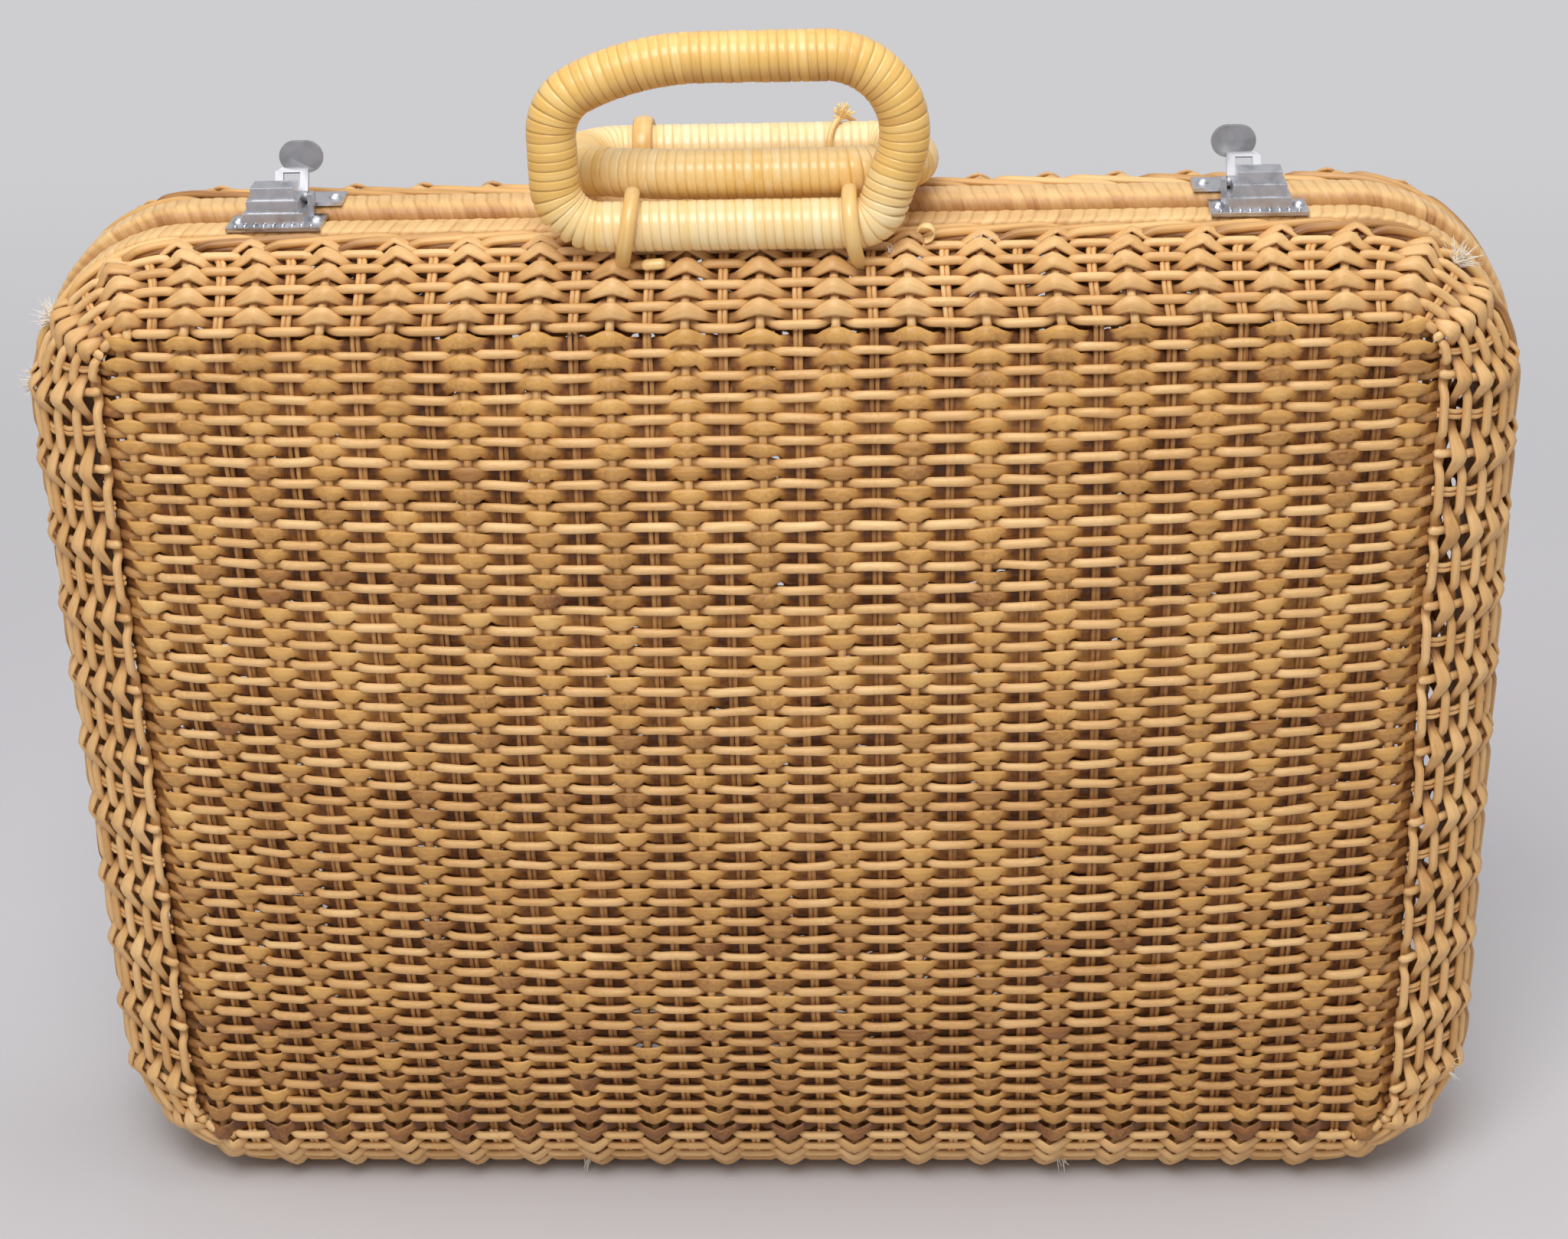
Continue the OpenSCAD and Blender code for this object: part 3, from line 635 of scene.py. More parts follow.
@dataclass(frozen=True)
class Pillow:
    """The pillow shape of one half: the flat run by the rim, the arc of the band and the crowned face.

    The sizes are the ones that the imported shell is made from, and the width, height and depth are
    read from the frame.
    """

    half: Half
    width: float
    height: float
    depth: float
    corner: float
    face_in_x: float = 26 * MM
    face_in_z: float = 22 * MM
    crease: float = 43 * MM
    weave_in: float = 1.5 * MM
    arc_from: float = 22.5 * MM
    arc_end: float = math.radians(65)
    flat_run: float = 30 * MM
    crown_power: float = 2.6
    edge_in: float = 4.4 * MM
    edge_shrink: float = 0.85
    front_corner: float = 50 * MM
    crease_r: float = 14 * MM

    @staticmethod
    def from_frame(half: Half) -> Pillow:
        """Reads the half's outer sizes from its rim and its shell in the frame.

        Args:
            half: The half.

        Returns:
            Its form. Its corners' radius grows with its width, as the back half's outline does.
        """
        front_width, front_corner = 440 * MM, Pillow.front_corner
        low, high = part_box(f"{half.word}_rim_binding")
        shell_low, shell_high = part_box(f"{half.word}_shell")
        deep = max(abs(shell_low[1]), abs(shell_high[1]))
        corner = front_corner + (high[0] - low[0] - front_width) / 2
        return Pillow(half, high[0] - low[0], high[2] - low[2], deep, corner)

    @property
    def outline(self) -> Outline:
        """The rim's outer outline."""
        return Outline(self.width / 2, self.height / 2, self.corner)

    @property
    def arc_x(self) -> float:
        """Reach of the band's arc along x, from its formula."""
        return (self.face_in_x - self.weave_in) / (1 - math.cos(self.arc_end))

    @property
    def arc_z(self) -> float:
        """Reach of the band's arc along z."""
        return (self.face_in_z - self.weave_in) / (1 - math.cos(self.arc_end))

    @property
    def arc_mean(self) -> float:
        """Mean of the arc's two reaches."""
        return (self.arc_x + self.arc_z) / 2

    @property
    def arc_d(self) -> float:
        """Reach of the band's arc in depth."""
        return (self.crease - self.arc_from) / math.sin(self.arc_end)

    @property
    def face_in(self) -> float:
        """Mean inset of the face."""
        return (self.face_in_x + self.face_in_z) / 2

    @property
    def face_half(self) -> tuple[float, float]:
        """Half the width and half the height of the face."""
        return self.width / 2 - self.face_in_x, self.height / 2 - self.face_in_z

    def world(self, x: np.ndarray, y: np.ndarray, d: np.ndarray) -> np.ndarray:
        """Turns x, height over the middle and depth from the seam into points of the frame."""
        x, y, d = np.broadcast_arrays(x, y, d)
        return np.stack([x, self.half.value * d, y + self.height / 2], axis=-1)

    def aim(self, x: np.ndarray, y: np.ndarray, d: np.ndarray) -> np.ndarray:
        """Turns a direction in the same terms into one of the frame."""
        x, y, d = np.broadcast_arrays(x, y, d)
        return unit(np.stack([x, self.half.value * d, y], axis=-1))

    def radius_loss(self, inset: np.ndarray | float) -> np.ndarray:
        """What a mean inset takes off the corners' radius.

        It is little under the border and more from there up to the crease.

        Args:
            inset: Mean insets from the rim's outline.

        Returns:
            What is taken off.
        """
        left = self.front_corner - self.crease_r - self.edge_shrink * self.edge_in
        steep = left / (self.face_in - self.edge_in)
        inset = np.asarray(inset)
        near_edge = self.edge_shrink * np.minimum(inset, self.edge_in)
        return near_edge + steep * np.maximum(inset - self.edge_in, 0.0)

    def band_angle(self, v: np.ndarray) -> np.ndarray:
        """Finds the arc's angle, from its length summed over small steps.

        Args:
            v: Shares of its length, 0 at the border and 1 at the crease.

        Returns:
            The angles.
        """
        phi = np.linspace(0.0, self.arc_end, 60)
        steps = np.hypot(self.arc_mean * np.sin(phi), self.arc_d * np.cos(phi))
        run = np.concatenate([[0.0], np.cumsum((steps[1:] + steps[:-1]) / 2)])
        return np.interp(v, run / run[-1], phi)

    def band(self, s: np.ndarray, v: np.ndarray, sunk: np.ndarray | float) -> tuple[np.ndarray, np.ndarray]:
        """Finds points of the band.

        The inset is the arc's reach times one less the cosine of its angle, and the depth its reach
        times the sine. A share under 0 runs straight on from the arc's start towards the rim.

        Args:
            s: Lengths along the rim's outline.
            v: Shares of the arc, 0 at the border and 1 at the crease.
            sunk: Distance inwards from the woven wall's outside.

        Returns:
            Points and outward normals.
        """
        phi = self.band_angle(np.clip(v, 0.0, 1.0))
        out, deep = self.arc_d * np.cos(phi), self.arc_mean * np.sin(phi)
        size = np.hypot(out, deep)
        out, deep = out / size, deep / size
        inset_x = self.weave_in + self.arc_x * (1 - np.cos(phi)) + sunk * out
        inset_z = self.weave_in + self.arc_z * (1 - np.cos(phi)) + sunk * out
        d = self.arc_from + self.arc_d * np.sin(phi) - sunk * deep + np.minimum(v, 0.0) * self.flat_run
        x, y, nx, ny = self.outline.place(s, inset_x, inset_z, self.radius_loss((inset_x + inset_z) / 2))
        return self.world(x, y, d), self.aim(nx * out, ny * out, deep)

    def face(self, x: np.ndarray, y: np.ndarray, sunk: np.ndarray | float) -> tuple[np.ndarray, np.ndarray]:
        """Finds points of the crowned face.

        The crown is its height times one less the power of x over the half width, times the same of y.

        Args:
            x: Places along the case.
            y: Heights over its middle.
            sunk: Distance inwards from the woven wall's outside.

        Returns:
            Points and outward normals.
        """
        a, b = self.face_half
        p, rise = self.crown_power, self.depth - self.crease
        u, w = np.clip(np.abs(x) / a, 0, 1), np.clip(np.abs(y) / b, 0, 1)
        d = self.crease + rise * (1 - u**p) * (1 - w**p)
        slope_x = rise * p * u ** (p - 1) / a * np.sign(x) * (1 - w**p)
        slope_y = rise * p * w ** (p - 1) / b * np.sign(y) * (1 - u**p)
        normal = self.aim(slope_x, slope_y, np.ones_like(slope_x))
        return self.world(x, y, d) - normal * np.asarray(sunk)[..., None], normal

    def face_reach(self, at: np.ndarray, half: float, reach: float) -> np.ndarray:
        """Reach of the face inside the crease's rounded outline, which is shorter beside its corners.

        Args:
            at: Places along one way.
            half: Half the face's size along that way.
            reach: Half its size along the other way.

        Returns:
            The reach along the other way at each place.
        """
        r = float(self.corner - self.radius_loss(self.face_in))
        over = np.clip(np.abs(at) - (half - r), 0.0, r)
        return reach - r + np.sqrt(r * r - over * over)

    def face_half_width(self, y: np.ndarray) -> np.ndarray:
        """Half the width of the face at a height."""
        half_w, half_h = self.face_half
        return self.face_reach(y, half_h, half_w)

    def face_half_height(self, x: np.ndarray) -> np.ndarray:
        """Half the height of the face at a place along the case."""
        half_w, half_h = self.face_half
        return self.face_reach(x, half_w, half_h)


@dataclass
class Part:
    """A part of one half, with the materials by name and the seed of its own random numbers."""

    half: Half
    finishes: dict[str, bpy.types.Material]
    seed: int

    def __post_init__(self) -> None:
        """Reads the half's form from the frame and starts the stream of random numbers."""
        self.form = Pillow.from_frame(self.half)
        self.rng = np.random.default_rng(self.seed)

    def dress(
        self, skin: Skin, word: str, finish: str, slot: str, node: str = "", on_handle: bool = False
    ) -> None:
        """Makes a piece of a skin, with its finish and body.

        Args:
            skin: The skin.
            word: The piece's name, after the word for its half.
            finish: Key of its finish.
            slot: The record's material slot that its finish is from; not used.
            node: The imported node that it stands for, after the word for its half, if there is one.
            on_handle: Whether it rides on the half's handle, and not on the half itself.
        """
        piece = skin.mesh(f"{self.half.word}_{word}")
        piece.data.materials.append(self.finishes[finish])
        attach(piece, self.half.handle_body if on_handle else self.half.body)
        if node:
            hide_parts(f"{self.half.word}_{node}")
        LOG.info("%s: %d faces", piece.name, len(piece.data.polygons))


@dataclass(frozen=True)
class StakeKind:
    """A kind of stake, the single even ones or the doubled odd ones, with its looks on face and band.

    The offsets are the rods' places beside the stake's middle in half thicknesses, the swing is how
    far the stake bows in and out past the strands, and its face and band shade values are the painted
    shade that darkens it, for lying deep in their shade.
    """

    even: bool
    offsets: tuple[float, ...]
    half: float
    sides: int
    face_sunk: float
    face_tone: float
    face_under: float
    band_sunk: float
    band_tone: float
    band_under: float
    face_swing: float = 0.25 * MM
    band_swing: float = 0.4 * MM
    tone_spread: float = 0.07

    @property
    def phase(self) -> float:
        """The sense that it bows in at a wide reed: 1 inwards, under it, and -1 outwards, over it."""
        return 1.0 if self.even else -1.0

    def rods(self, numbers: np.ndarray) -> tuple[np.ndarray, np.ndarray]:
        """Finds the rods of this kind.

        Args:
            numbers: All the stakes' numbers.

        Returns:
            The stake's number and the sideways shift of each rod.
        """
        ks = np.repeat(numbers[(numbers % 2 == 0) == self.even], len(self.offsets)).astype(float)
        return ks, np.tile(self.offsets, len(ks) // len(self.offsets)) * self.half


@dataclass
class Weave(Part):
    """The woven wall of one half: wide flat reeds and narrow round rods over single and doubled stakes.

    Wide reeds pass over the even stakes and behind the odd ones, and narrow rods the other way round.
    A strand's out and in are its depths over its own stake and behind the next. The arch and the dome
    are how it stands out and swerves near the crease, over the widths of their bands. The tuck is how
    it goes in at the face's ends, and the strays are its random wandering.
    """

    rows: int = 42
    row_spread: float = -0.065
    columns: int = 18
    column_step: float = 10.3 * MM
    column_swell: float = 0.05
    points_a_column: int = 14
    points_a_row: int = 6
    band_rods: int = 10
    band_end: float = 0.32
    band_run: float = 32.6 * MM
    reed_out: float = 1.5 * MM
    reed_in: float = 4.7 * MM
    reed_thick: float = 0.75 * MM
    reed_tilt: float = math.radians(20)
    arch_out: float = -0.7 * MM
    arch_dip: float = 0.6 * MM
    arch_band: float = 24 * MM
    dome_band: float = 60 * MM
    dome_rise: float = 3.9 * MM
    rod_out: float = 1.6 * MM
    rod_in: float = 4.3 * MM
    rod_half: float = 1.42 * MM
    tuck_run: float = 5 * MM
    tuck_in: float = 1.8 * MM
    overrun: float = 0.8 * MM
    stray_in: float = 0.12 * MM
    stray_up: float = 0.2 * MM
    pale_row: float = 36 * MM
    reed_tone: float = 0.46
    rod_tone: float = 0.66
    band_reed_tone: float = 0.6
    low_shade: float = 0.12
    rod_low_shade: float = 0.1
    rod_dome: float = 0.55
    band_rod_dome: float = 0.45
    rod_sag: float = 0.9 * MM
    sides: int = 8
    stake_kinds: tuple[StakeKind, StakeKind] = (
        StakeKind(
            even=True,
            offsets=(0.0,),
            half=1.35 * MM,
            sides=7,
            face_sunk=2.7 * MM,
            face_tone=0.48,
            face_under=0.1,
            band_sunk=2.1 * MM,
            band_tone=0.68,
            band_under=0.0,
        ),
        StakeKind(
            even=False,
            offsets=(-0.86, 0.86),
            half=0.82 * MM,
            sides=5,
            face_sunk=3.5 * MM,
            face_tone=0.4,
            face_under=0.35,
            band_sunk=2.6 * MM,
            band_tone=0.6,
            band_under=0.1,
        ),
    )

    @property
    def half_h(self) -> float:
        """Half the height of the face."""
        return self.form.face_half[1]

    def row_at(self, u: np.ndarray) -> np.ndarray:
        """Height of a share of the rows, which lie a little closer at the top than at the bottom."""
        g = self.row_spread
        return self.half_h * (2 * (u * (1 - g) + g * u * u) - 1)

    def share_at(self, y: np.ndarray) -> np.ndarray:
        """Finds the share of the rows at a height, as the root of the equation of row_at.

        Args:
            y: Heights over the middle.

        Returns:
            Shares, a little under 0 and over 1 beyond the rows.
        """
        g = self.row_spread
        t = np.clip((y / self.half_h + 1) / 2, -0.2, 1.2)
        return (np.sqrt((1 - g) ** 2 + 4 * g * t) - (1 - g)) / (2 * g)

    def column_at(self, k: np.ndarray) -> np.ndarray:
        """Place along the case of a stake's number, a little further apart in the middle."""
        return self.column_step * k * (1 + self.column_swell * (1 - (k / self.columns) ** 2))

    def number_at(self, x: np.ndarray) -> np.ndarray:
        """Stake's number, whole or not, at a place along the case: the inverse of column_at."""
        k = np.linspace(-self.columns - 1.5, self.columns + 1.5, 800)
        return np.interp(x, self.column_at(k), k)

    def drift(self, shape: tuple[int, int], size: float, knots: int) -> np.ndarray:
        """Makes slow random wandering along each strand, smooth between knots.

        Args:
            shape: Strands by points.
            size: Standard deviation at a knot.
            knots: Number of knots along a strand.

        Returns:
            Offsets in the shape asked for.
        """
        m, n = shape
        at = np.linspace(0, knots - 1.001, n)
        low = at.astype(int)
        part = smooth(at - low)
        rough = self.rng.normal(0.0, size, (m, knots + 1))
        return rough[:, low] * (1 - part) + rough[:, low + 1] * part

    def tent(self, away: np.ndarray) -> np.ndarray:
        """Rises from 0 at a stake to 1 at the next, as the root of its square plus a small blunting."""
        blunting, lowest, span = 0.006, 0.077, 0.926
        return (np.sqrt(away**2 + blunting) - lowest) / span

    def reed_sunk(self, away: np.ndarray, arch: np.ndarray | float) -> np.ndarray:
        """How deep a wide reed's middle lies.

        On the face it is level over its stake and then dives. On the band it stands out like a tent.

        Args:
            away: How far it is from its stake, 0 on it and 1 at the next.
            arch: How much it stands out like a tent, 0 to 1.

        Returns:
            Depths under the woven wall's outside.
        """
        level = self.reed_out + (self.reed_in - self.reed_out) * ease(away, 0.2, 0.46)
        tent = self.arch_out + (self.reed_in + self.arch_dip - self.arch_out) * self.tent(away)
        return level + (tent - level) * arch

    def rod_sunk(self, away: np.ndarray) -> np.ndarray:
        """How deep a narrow rod's middle lies: level over its pair of stakes, then down behind the next."""
        return self.rod_out + (self.rod_in - self.rod_out) * ease(away, 0.42, 0.34)

    def away(self, k: np.ndarray, wide: bool) -> np.ndarray:
        """How far a stake's number is from the nearest one that the strand passes over, 0 to 1."""
        over = np.mod(k - (0.0 if wide else 1.0), 2.0)
        return np.minimum(over, 2.0 - over)

    def reed_shape(self, away: np.ndarray) -> tuple[np.ndarray, np.ndarray, np.ndarray]:
        """Shape of a wide reed, which is a lens on its stake, drawn in beside it and broad when hidden.

        Args:
            away: How far it is from its stake.

        Returns:
            Half its width and how far its middle hangs, both as shares of the row's pitch, and its tilt.
        """
        lens_reach, lens_least = 0.6, 0.12
        lens = np.sqrt(np.clip(1 - (away / lens_reach) ** 2, lens_least, 1.0))
        half = 0.375 * lens + 0.37 * ease(away, 0.4, 0.2)
        hang = 0.06 * (1 - smooth(away / 0.45)) + 0.07 * ease(away, 0.4, 0.15)
        tilt = self.reed_tilt * ease(away, 0.15, 0.25) * (1 - ease(away, 0.4, 0.2))
        return half, hang, tilt

    def face_rods(self, wide: bool) -> None:
        """Builds the reeds or the rods that cross the face.

        Near the top and the bottom they swerve over each stake towards the crease, by the dome.

        Args:
            wide: Whether to build the wide reeds or the narrow rods.
        """
        u = (np.arange(self.rows) + 0.5) / self.rows if wide else np.arange(1, self.rows) / self.rows
        y = self.row_at(u)
        pitch = (self.row_at(u + 0.5 / self.rows) - self.row_at(u - 0.5 / self.rows))[:, None]
        reach = self.form.face_half_width(y) + self.overrun
        n = self.points_a_column * self.columns + 5
        k = np.linspace(-1, 1, n)[None, :] * self.number_at(reach)[:, None]
        x = self.column_at(k)
        away = self.away(k if wide else np.clip(k, -self.columns, self.columns), wide)
        tuck = smooth((np.abs(x) - reach[:, None] + self.tuck_run) / self.tuck_run)
        past = np.abs(y) - self.half_h
        arch = smooth((past + self.arch_band) / self.arch_band)[:, None]
        dome = (smooth((past + self.dome_band) / self.dome_band) * np.sign(y) * self.dome_rise)[:, None]
        sunk = self.reed_sunk(away, arch) if wide else self.rod_sunk(away)
        sunk = sunk + self.tuck_in * tuck + self.drift(x.shape, self.stray_in, 40)
        yy = y[:, None] + self.drift(x.shape, self.stray_up, 34)
        skin = Skin()
        if wide:
            half, hang, tilt = self.reed_shape(away)
            path, normal = self.form.face(x, yy - hang * pitch + dome * (0.5 - self.tent(away)), sunk)
            up = unit(np.array([0.0, 0.0, 1.0]) - normal * normal[..., 2:])
            normal = normal * np.cos(tilt)[..., None] - up * np.sin(tilt)[..., None]
            tone = self.reed_tone + self.drift(x.shape, 0.07, 38) + self.rng.normal(0, 0.07, (len(y), 1))
            tone = self.bleach(y[:, None], tone)
            width = pitch * half * (1 + self.drift(x.shape, 0.05, 40))
            # Painted shade darkens the reed where it dives behind the odd stakes, more near the crease.
            under = ease(away, 0.42, 0.25) * (1 + 0.4 * arch)
            skin.strands(path, normal, width, self.reed_thick, self.sides, tone, under)
            self.dress(skin, "wide_reeds", "reed", "weave", "shell")
            return
        dive = ease(away, 0.45, 0.3)
        late = ease(away, 0.6, 0.25)
        path, normal = self.form.face(x, yy + self.rod_dome * dome * late - self.rod_sag * dive, sunk)
        tone = self.rod_tone + self.drift(x.shape, 0.05, 38) + self.rng.normal(0, 0.08, (len(y), 1))
        # Painted shade: the low rods grow darker towards the bottom, where less light falls.
        tone -= self.rod_low_shade * fall(y / self.half_h, 0.2, 1.0)[:, None]
        size = self.rod_half * (1 + self.drift(x.shape, 0.05, 40) + self.rng.normal(0, 0.05, (len(y), 1)))
        width = size * (1 + 0.22 * dive)
        # Painted shade darkens the rod where it dives behind the even stakes.
        skin.strands(path, normal, width, size * 0.85, self.sides, tone, ease(away, 0.62, 0.25))
        self.dress(skin, "narrow_rods", "weave", "weave", "shell")

    def bleach(self, y: np.ndarray, tone: np.ndarray) -> np.ndarray:
        """Pales a few reeds of the front face and paints shade on the low ones, darker towards the bottom.

        Args:
            y: Height of each row over the middle.
            tone: Tones of the reeds.

        Returns:
            The new tones.
        """
        if self.half is Half.FRONT:
            # Painted shade: the low reeds grow darker towards the bottom, where less light falls.
            tone -= self.low_shade * fall(y / self.half_h, 0.2, 1.0)
            tone += 0.26 * np.exp(-(((y - self.pale_row) / (5 * MM)) ** 2))
        return tone

    def face_stakes(self) -> None:
        """Builds the upright stakes behind and between the face's rods."""
        skin = Skin()
        numbers = np.arange(-self.columns, self.columns + 1)
        for kind in self.stake_kinds:
            ks, shift = kind.rods(numbers)
            x = self.column_at(ks) + shift
            reach = self.form.face_half_height(x) + 1.0 * MM
            y = np.linspace(-1, 1, self.points_a_row * self.rows + 1)[None, :] * reach[:, None]
            lift = np.cos(TAU * self.share_at(y) * self.rows) * kind.phase
            xx = x[:, None] + self.drift(y.shape, 0.15 * MM, 16)
            path, normal = self.form.face(xx, y, kind.face_sunk - kind.face_swing * lift)
            tone = kind.face_tone + self.rng.normal(0, kind.tone_spread, len(ks))
            # Painted shade darkens the stakes, which lie deep among the strands.
            skin.strands(path, normal, kind.half, kind.half * 0.8, kind.sides, tone, kind.face_under)
        self.dress(skin, "face_stakes", "weave", "weave", "shell")

    @property
    def band_pitches(self) -> float:
        """The band's length in pitches of its rings, with a short pitch at each end."""
        return self.band_rods - 2 * self.band_end

    def band_rings(self) -> None:
        """Builds the reeds and rods that run round the band, a rod at the crease and a reed at the border.

        Each swerves towards the rim over its stakes, half as much at the ends of the case.
        """
        skin = Skin()
        k = np.arange(0, self.form.outline.stakes, 0.125)[None, :]
        joint = 6
        for j in range(self.band_rods):
            wide = j % 2 == 1
            away = self.away(k, wide)
            wander = self.drift(k.shape, 0.008, 60)
            wander[:, -joint:] += (wander[:, :1] - wander[:, -1:]) * smooth(np.arange(joint) / (joint - 1))
            v = 1 - (j + self.band_end) / self.band_pitches + wander
            sunk = self.reed_sunk(away, 1.0) if wide else self.rod_sunk(away)
            s = self.form.outline.at_stake(k, v)
            upright = np.abs(self.form.outline.place(s, 0.0, 0.0)[3])
            rise = self.dome_rise / self.band_run * (0.5 + 0.5 * upright)
            swerve = 0.5 - self.tent(away) if wide else self.band_rod_dome * ease(away, 0.6, 0.25)
            v = v - rise * swerve
            path, normal = self.form.band(self.form.outline.at_stake(k, v), v, sunk)
            if wide:
                tone = self.band_reed_tone + self.rng.normal(0, 0.05) + self.drift(k.shape, 0.06, 60)
                width = (2.55 - 1.0 * smooth(away / 0.6) + 1.0 * ease(away, 0.65, 0.3)) * MM
                # Painted shade darkens the reed where it dives behind the odd stakes.
                under = 1.4 * ease(away, 0.4, 0.3)
                thick = self.reed_thick
            else:
                tone = self.rod_tone + self.rng.normal(0, 0.06) + self.drift(k.shape, 0.05, 60)
                # Painted shade darkens the rod where it dives behind the even stakes; it also widens the
                # rod there.
                under = ease(away, 0.6, 0.3)
                width = self.rod_half * (1 + 0.3 * under)
                thick = self.rod_half * 0.92
            skin.strands(path, normal, width, thick, self.sides, tone, under, closed=True)
        self.dress(skin, "band_reeds", "weave", "weave", "shell")

    def band_stakes(self) -> None:
        """Builds the stakes that run across the band, from the crease to under the border."""
        skin = Skin()
        numbers = np.arange(self.form.outline.stakes)
        for kind in self.stake_kinds:
            ks, shift = kind.rods(numbers)
            v = np.linspace(-0.12, 1.05, 33)[None, :] + 0 * ks[:, None]
            row = (1 - v) * self.band_pitches - self.band_end
            lift = np.cos(math.pi * row) * kind.phase * (v > 0)
            s = self.form.outline.at_stake(ks[:, None] + 0 * v, v) + shift[:, None]
            path, normal = self.form.band(s, v, kind.band_sunk - kind.band_swing * lift)
            tone = kind.band_tone + self.rng.normal(0, kind.tone_spread, len(ks))
            # Painted shade darkens the stakes, which lie deep among the strands.
            skin.strands(path, normal, kind.half, kind.half * 0.9, kind.sides, tone, kind.band_under)
        self.dress(skin, "band_stakes", "weave", "weave", "shell")

    def build(self) -> None:
        """Builds every strand of the half."""
        self.face_rods(True)
        self.face_rods(False)
        self.face_stakes()
        self.band_rings()
        self.band_stakes()


@dataclass
class Border(Part):
    """The braided border beside the rim: long rods that each sweep from the weave up to the rim.

    The reach is how many stakes a rod passes, and the rails are the depths of the two rods that run
    all round behind.
    """

    reach: float = 4.3
    low_d: float = 22.4 * MM
    high_d: float = 14.4 * MM
    outer_in: float = 1.35 * MM
    half_width: float = 1.6 * MM
    half_thick: float = 1.3 * MM
    first_dip: float = 3.2 * MM
    last_dip: float = 1.6 * MM
    level_d: float = 18 * MM
    rails: tuple[float, float] = (16.2 * MM, 19.6 * MM)
    rail_in: float = 3.2 * MM

    def build(self) -> None:
        """Builds the border's rods.

        A rod's depth eases from the weave to the rim over its length, and its inset is least in the
        middle and dips at both ends, under its neighbours.
        """
        rng, outline = self.rng, self.form.outline
        starts = np.arange(0, outline.stakes, 2)[:, None] + rng.normal(0, 0.12, (outline.stakes // 2, 1))
        u = np.linspace(0, 1, 22)[None, :]
        s = outline.at_stake(starts + self.reach * (u - 0.5))
        rise = 0.65 * u + 0.35 * smooth(u) + rng.normal(0, 0.03, starts.shape)
        d = self.low_d + (self.high_d - self.low_d) * rise
        dip = self.first_dip * fall(u, 0.22, 0.22) + self.last_dip * ease(u, 0.8, 0.2)
        inset = self.outer_in + dip + rng.normal(0, 0.08 * MM, starts.shape)
        x, y, nx, ny = outline.place(s, inset, inset)
        path = self.form.world(x, y, d)
        tilt = (d - self.level_d) / (9 * MM)
        normal = self.form.aim(nx, ny, 0.7 * tilt)
        skin = Skin()
        tone = 0.5 + rng.normal(0, 0.13, len(starts))
        width = self.half_width * (1 + rng.normal(0, 0.06, starts.shape)) * (1 - 0.25 * (2 * u - 1) ** 4)
        # Painted shade darkens the first part of each rod, where it starts under its neighbours.
        skin.strands(path, normal, width, self.half_thick, 8, tone, fall(u, 0.3, 0.3) + 0 * s)
        k = np.arange(0, outline.stakes, 0.5)[None, :]
        for rail in self.rails:
            x, y, nx, ny = outline.place(outline.at_stake(k), self.rail_in, self.rail_in)
            path, normal = self.form.world(x, y, np.full_like(x, rail)), self.form.aim(nx, ny, 0 * nx)
            tone = np.array([0.3 + rng.normal(0, 0.05)])
            # Painted shade darkens the rails, which lie behind the rods.
            skin.strands(path, normal, 1.8 * MM, 1.2 * MM, 8, tone, 0.6, closed=True)
        self.dress(skin, "border_rods", "border", "border_cane", "border")


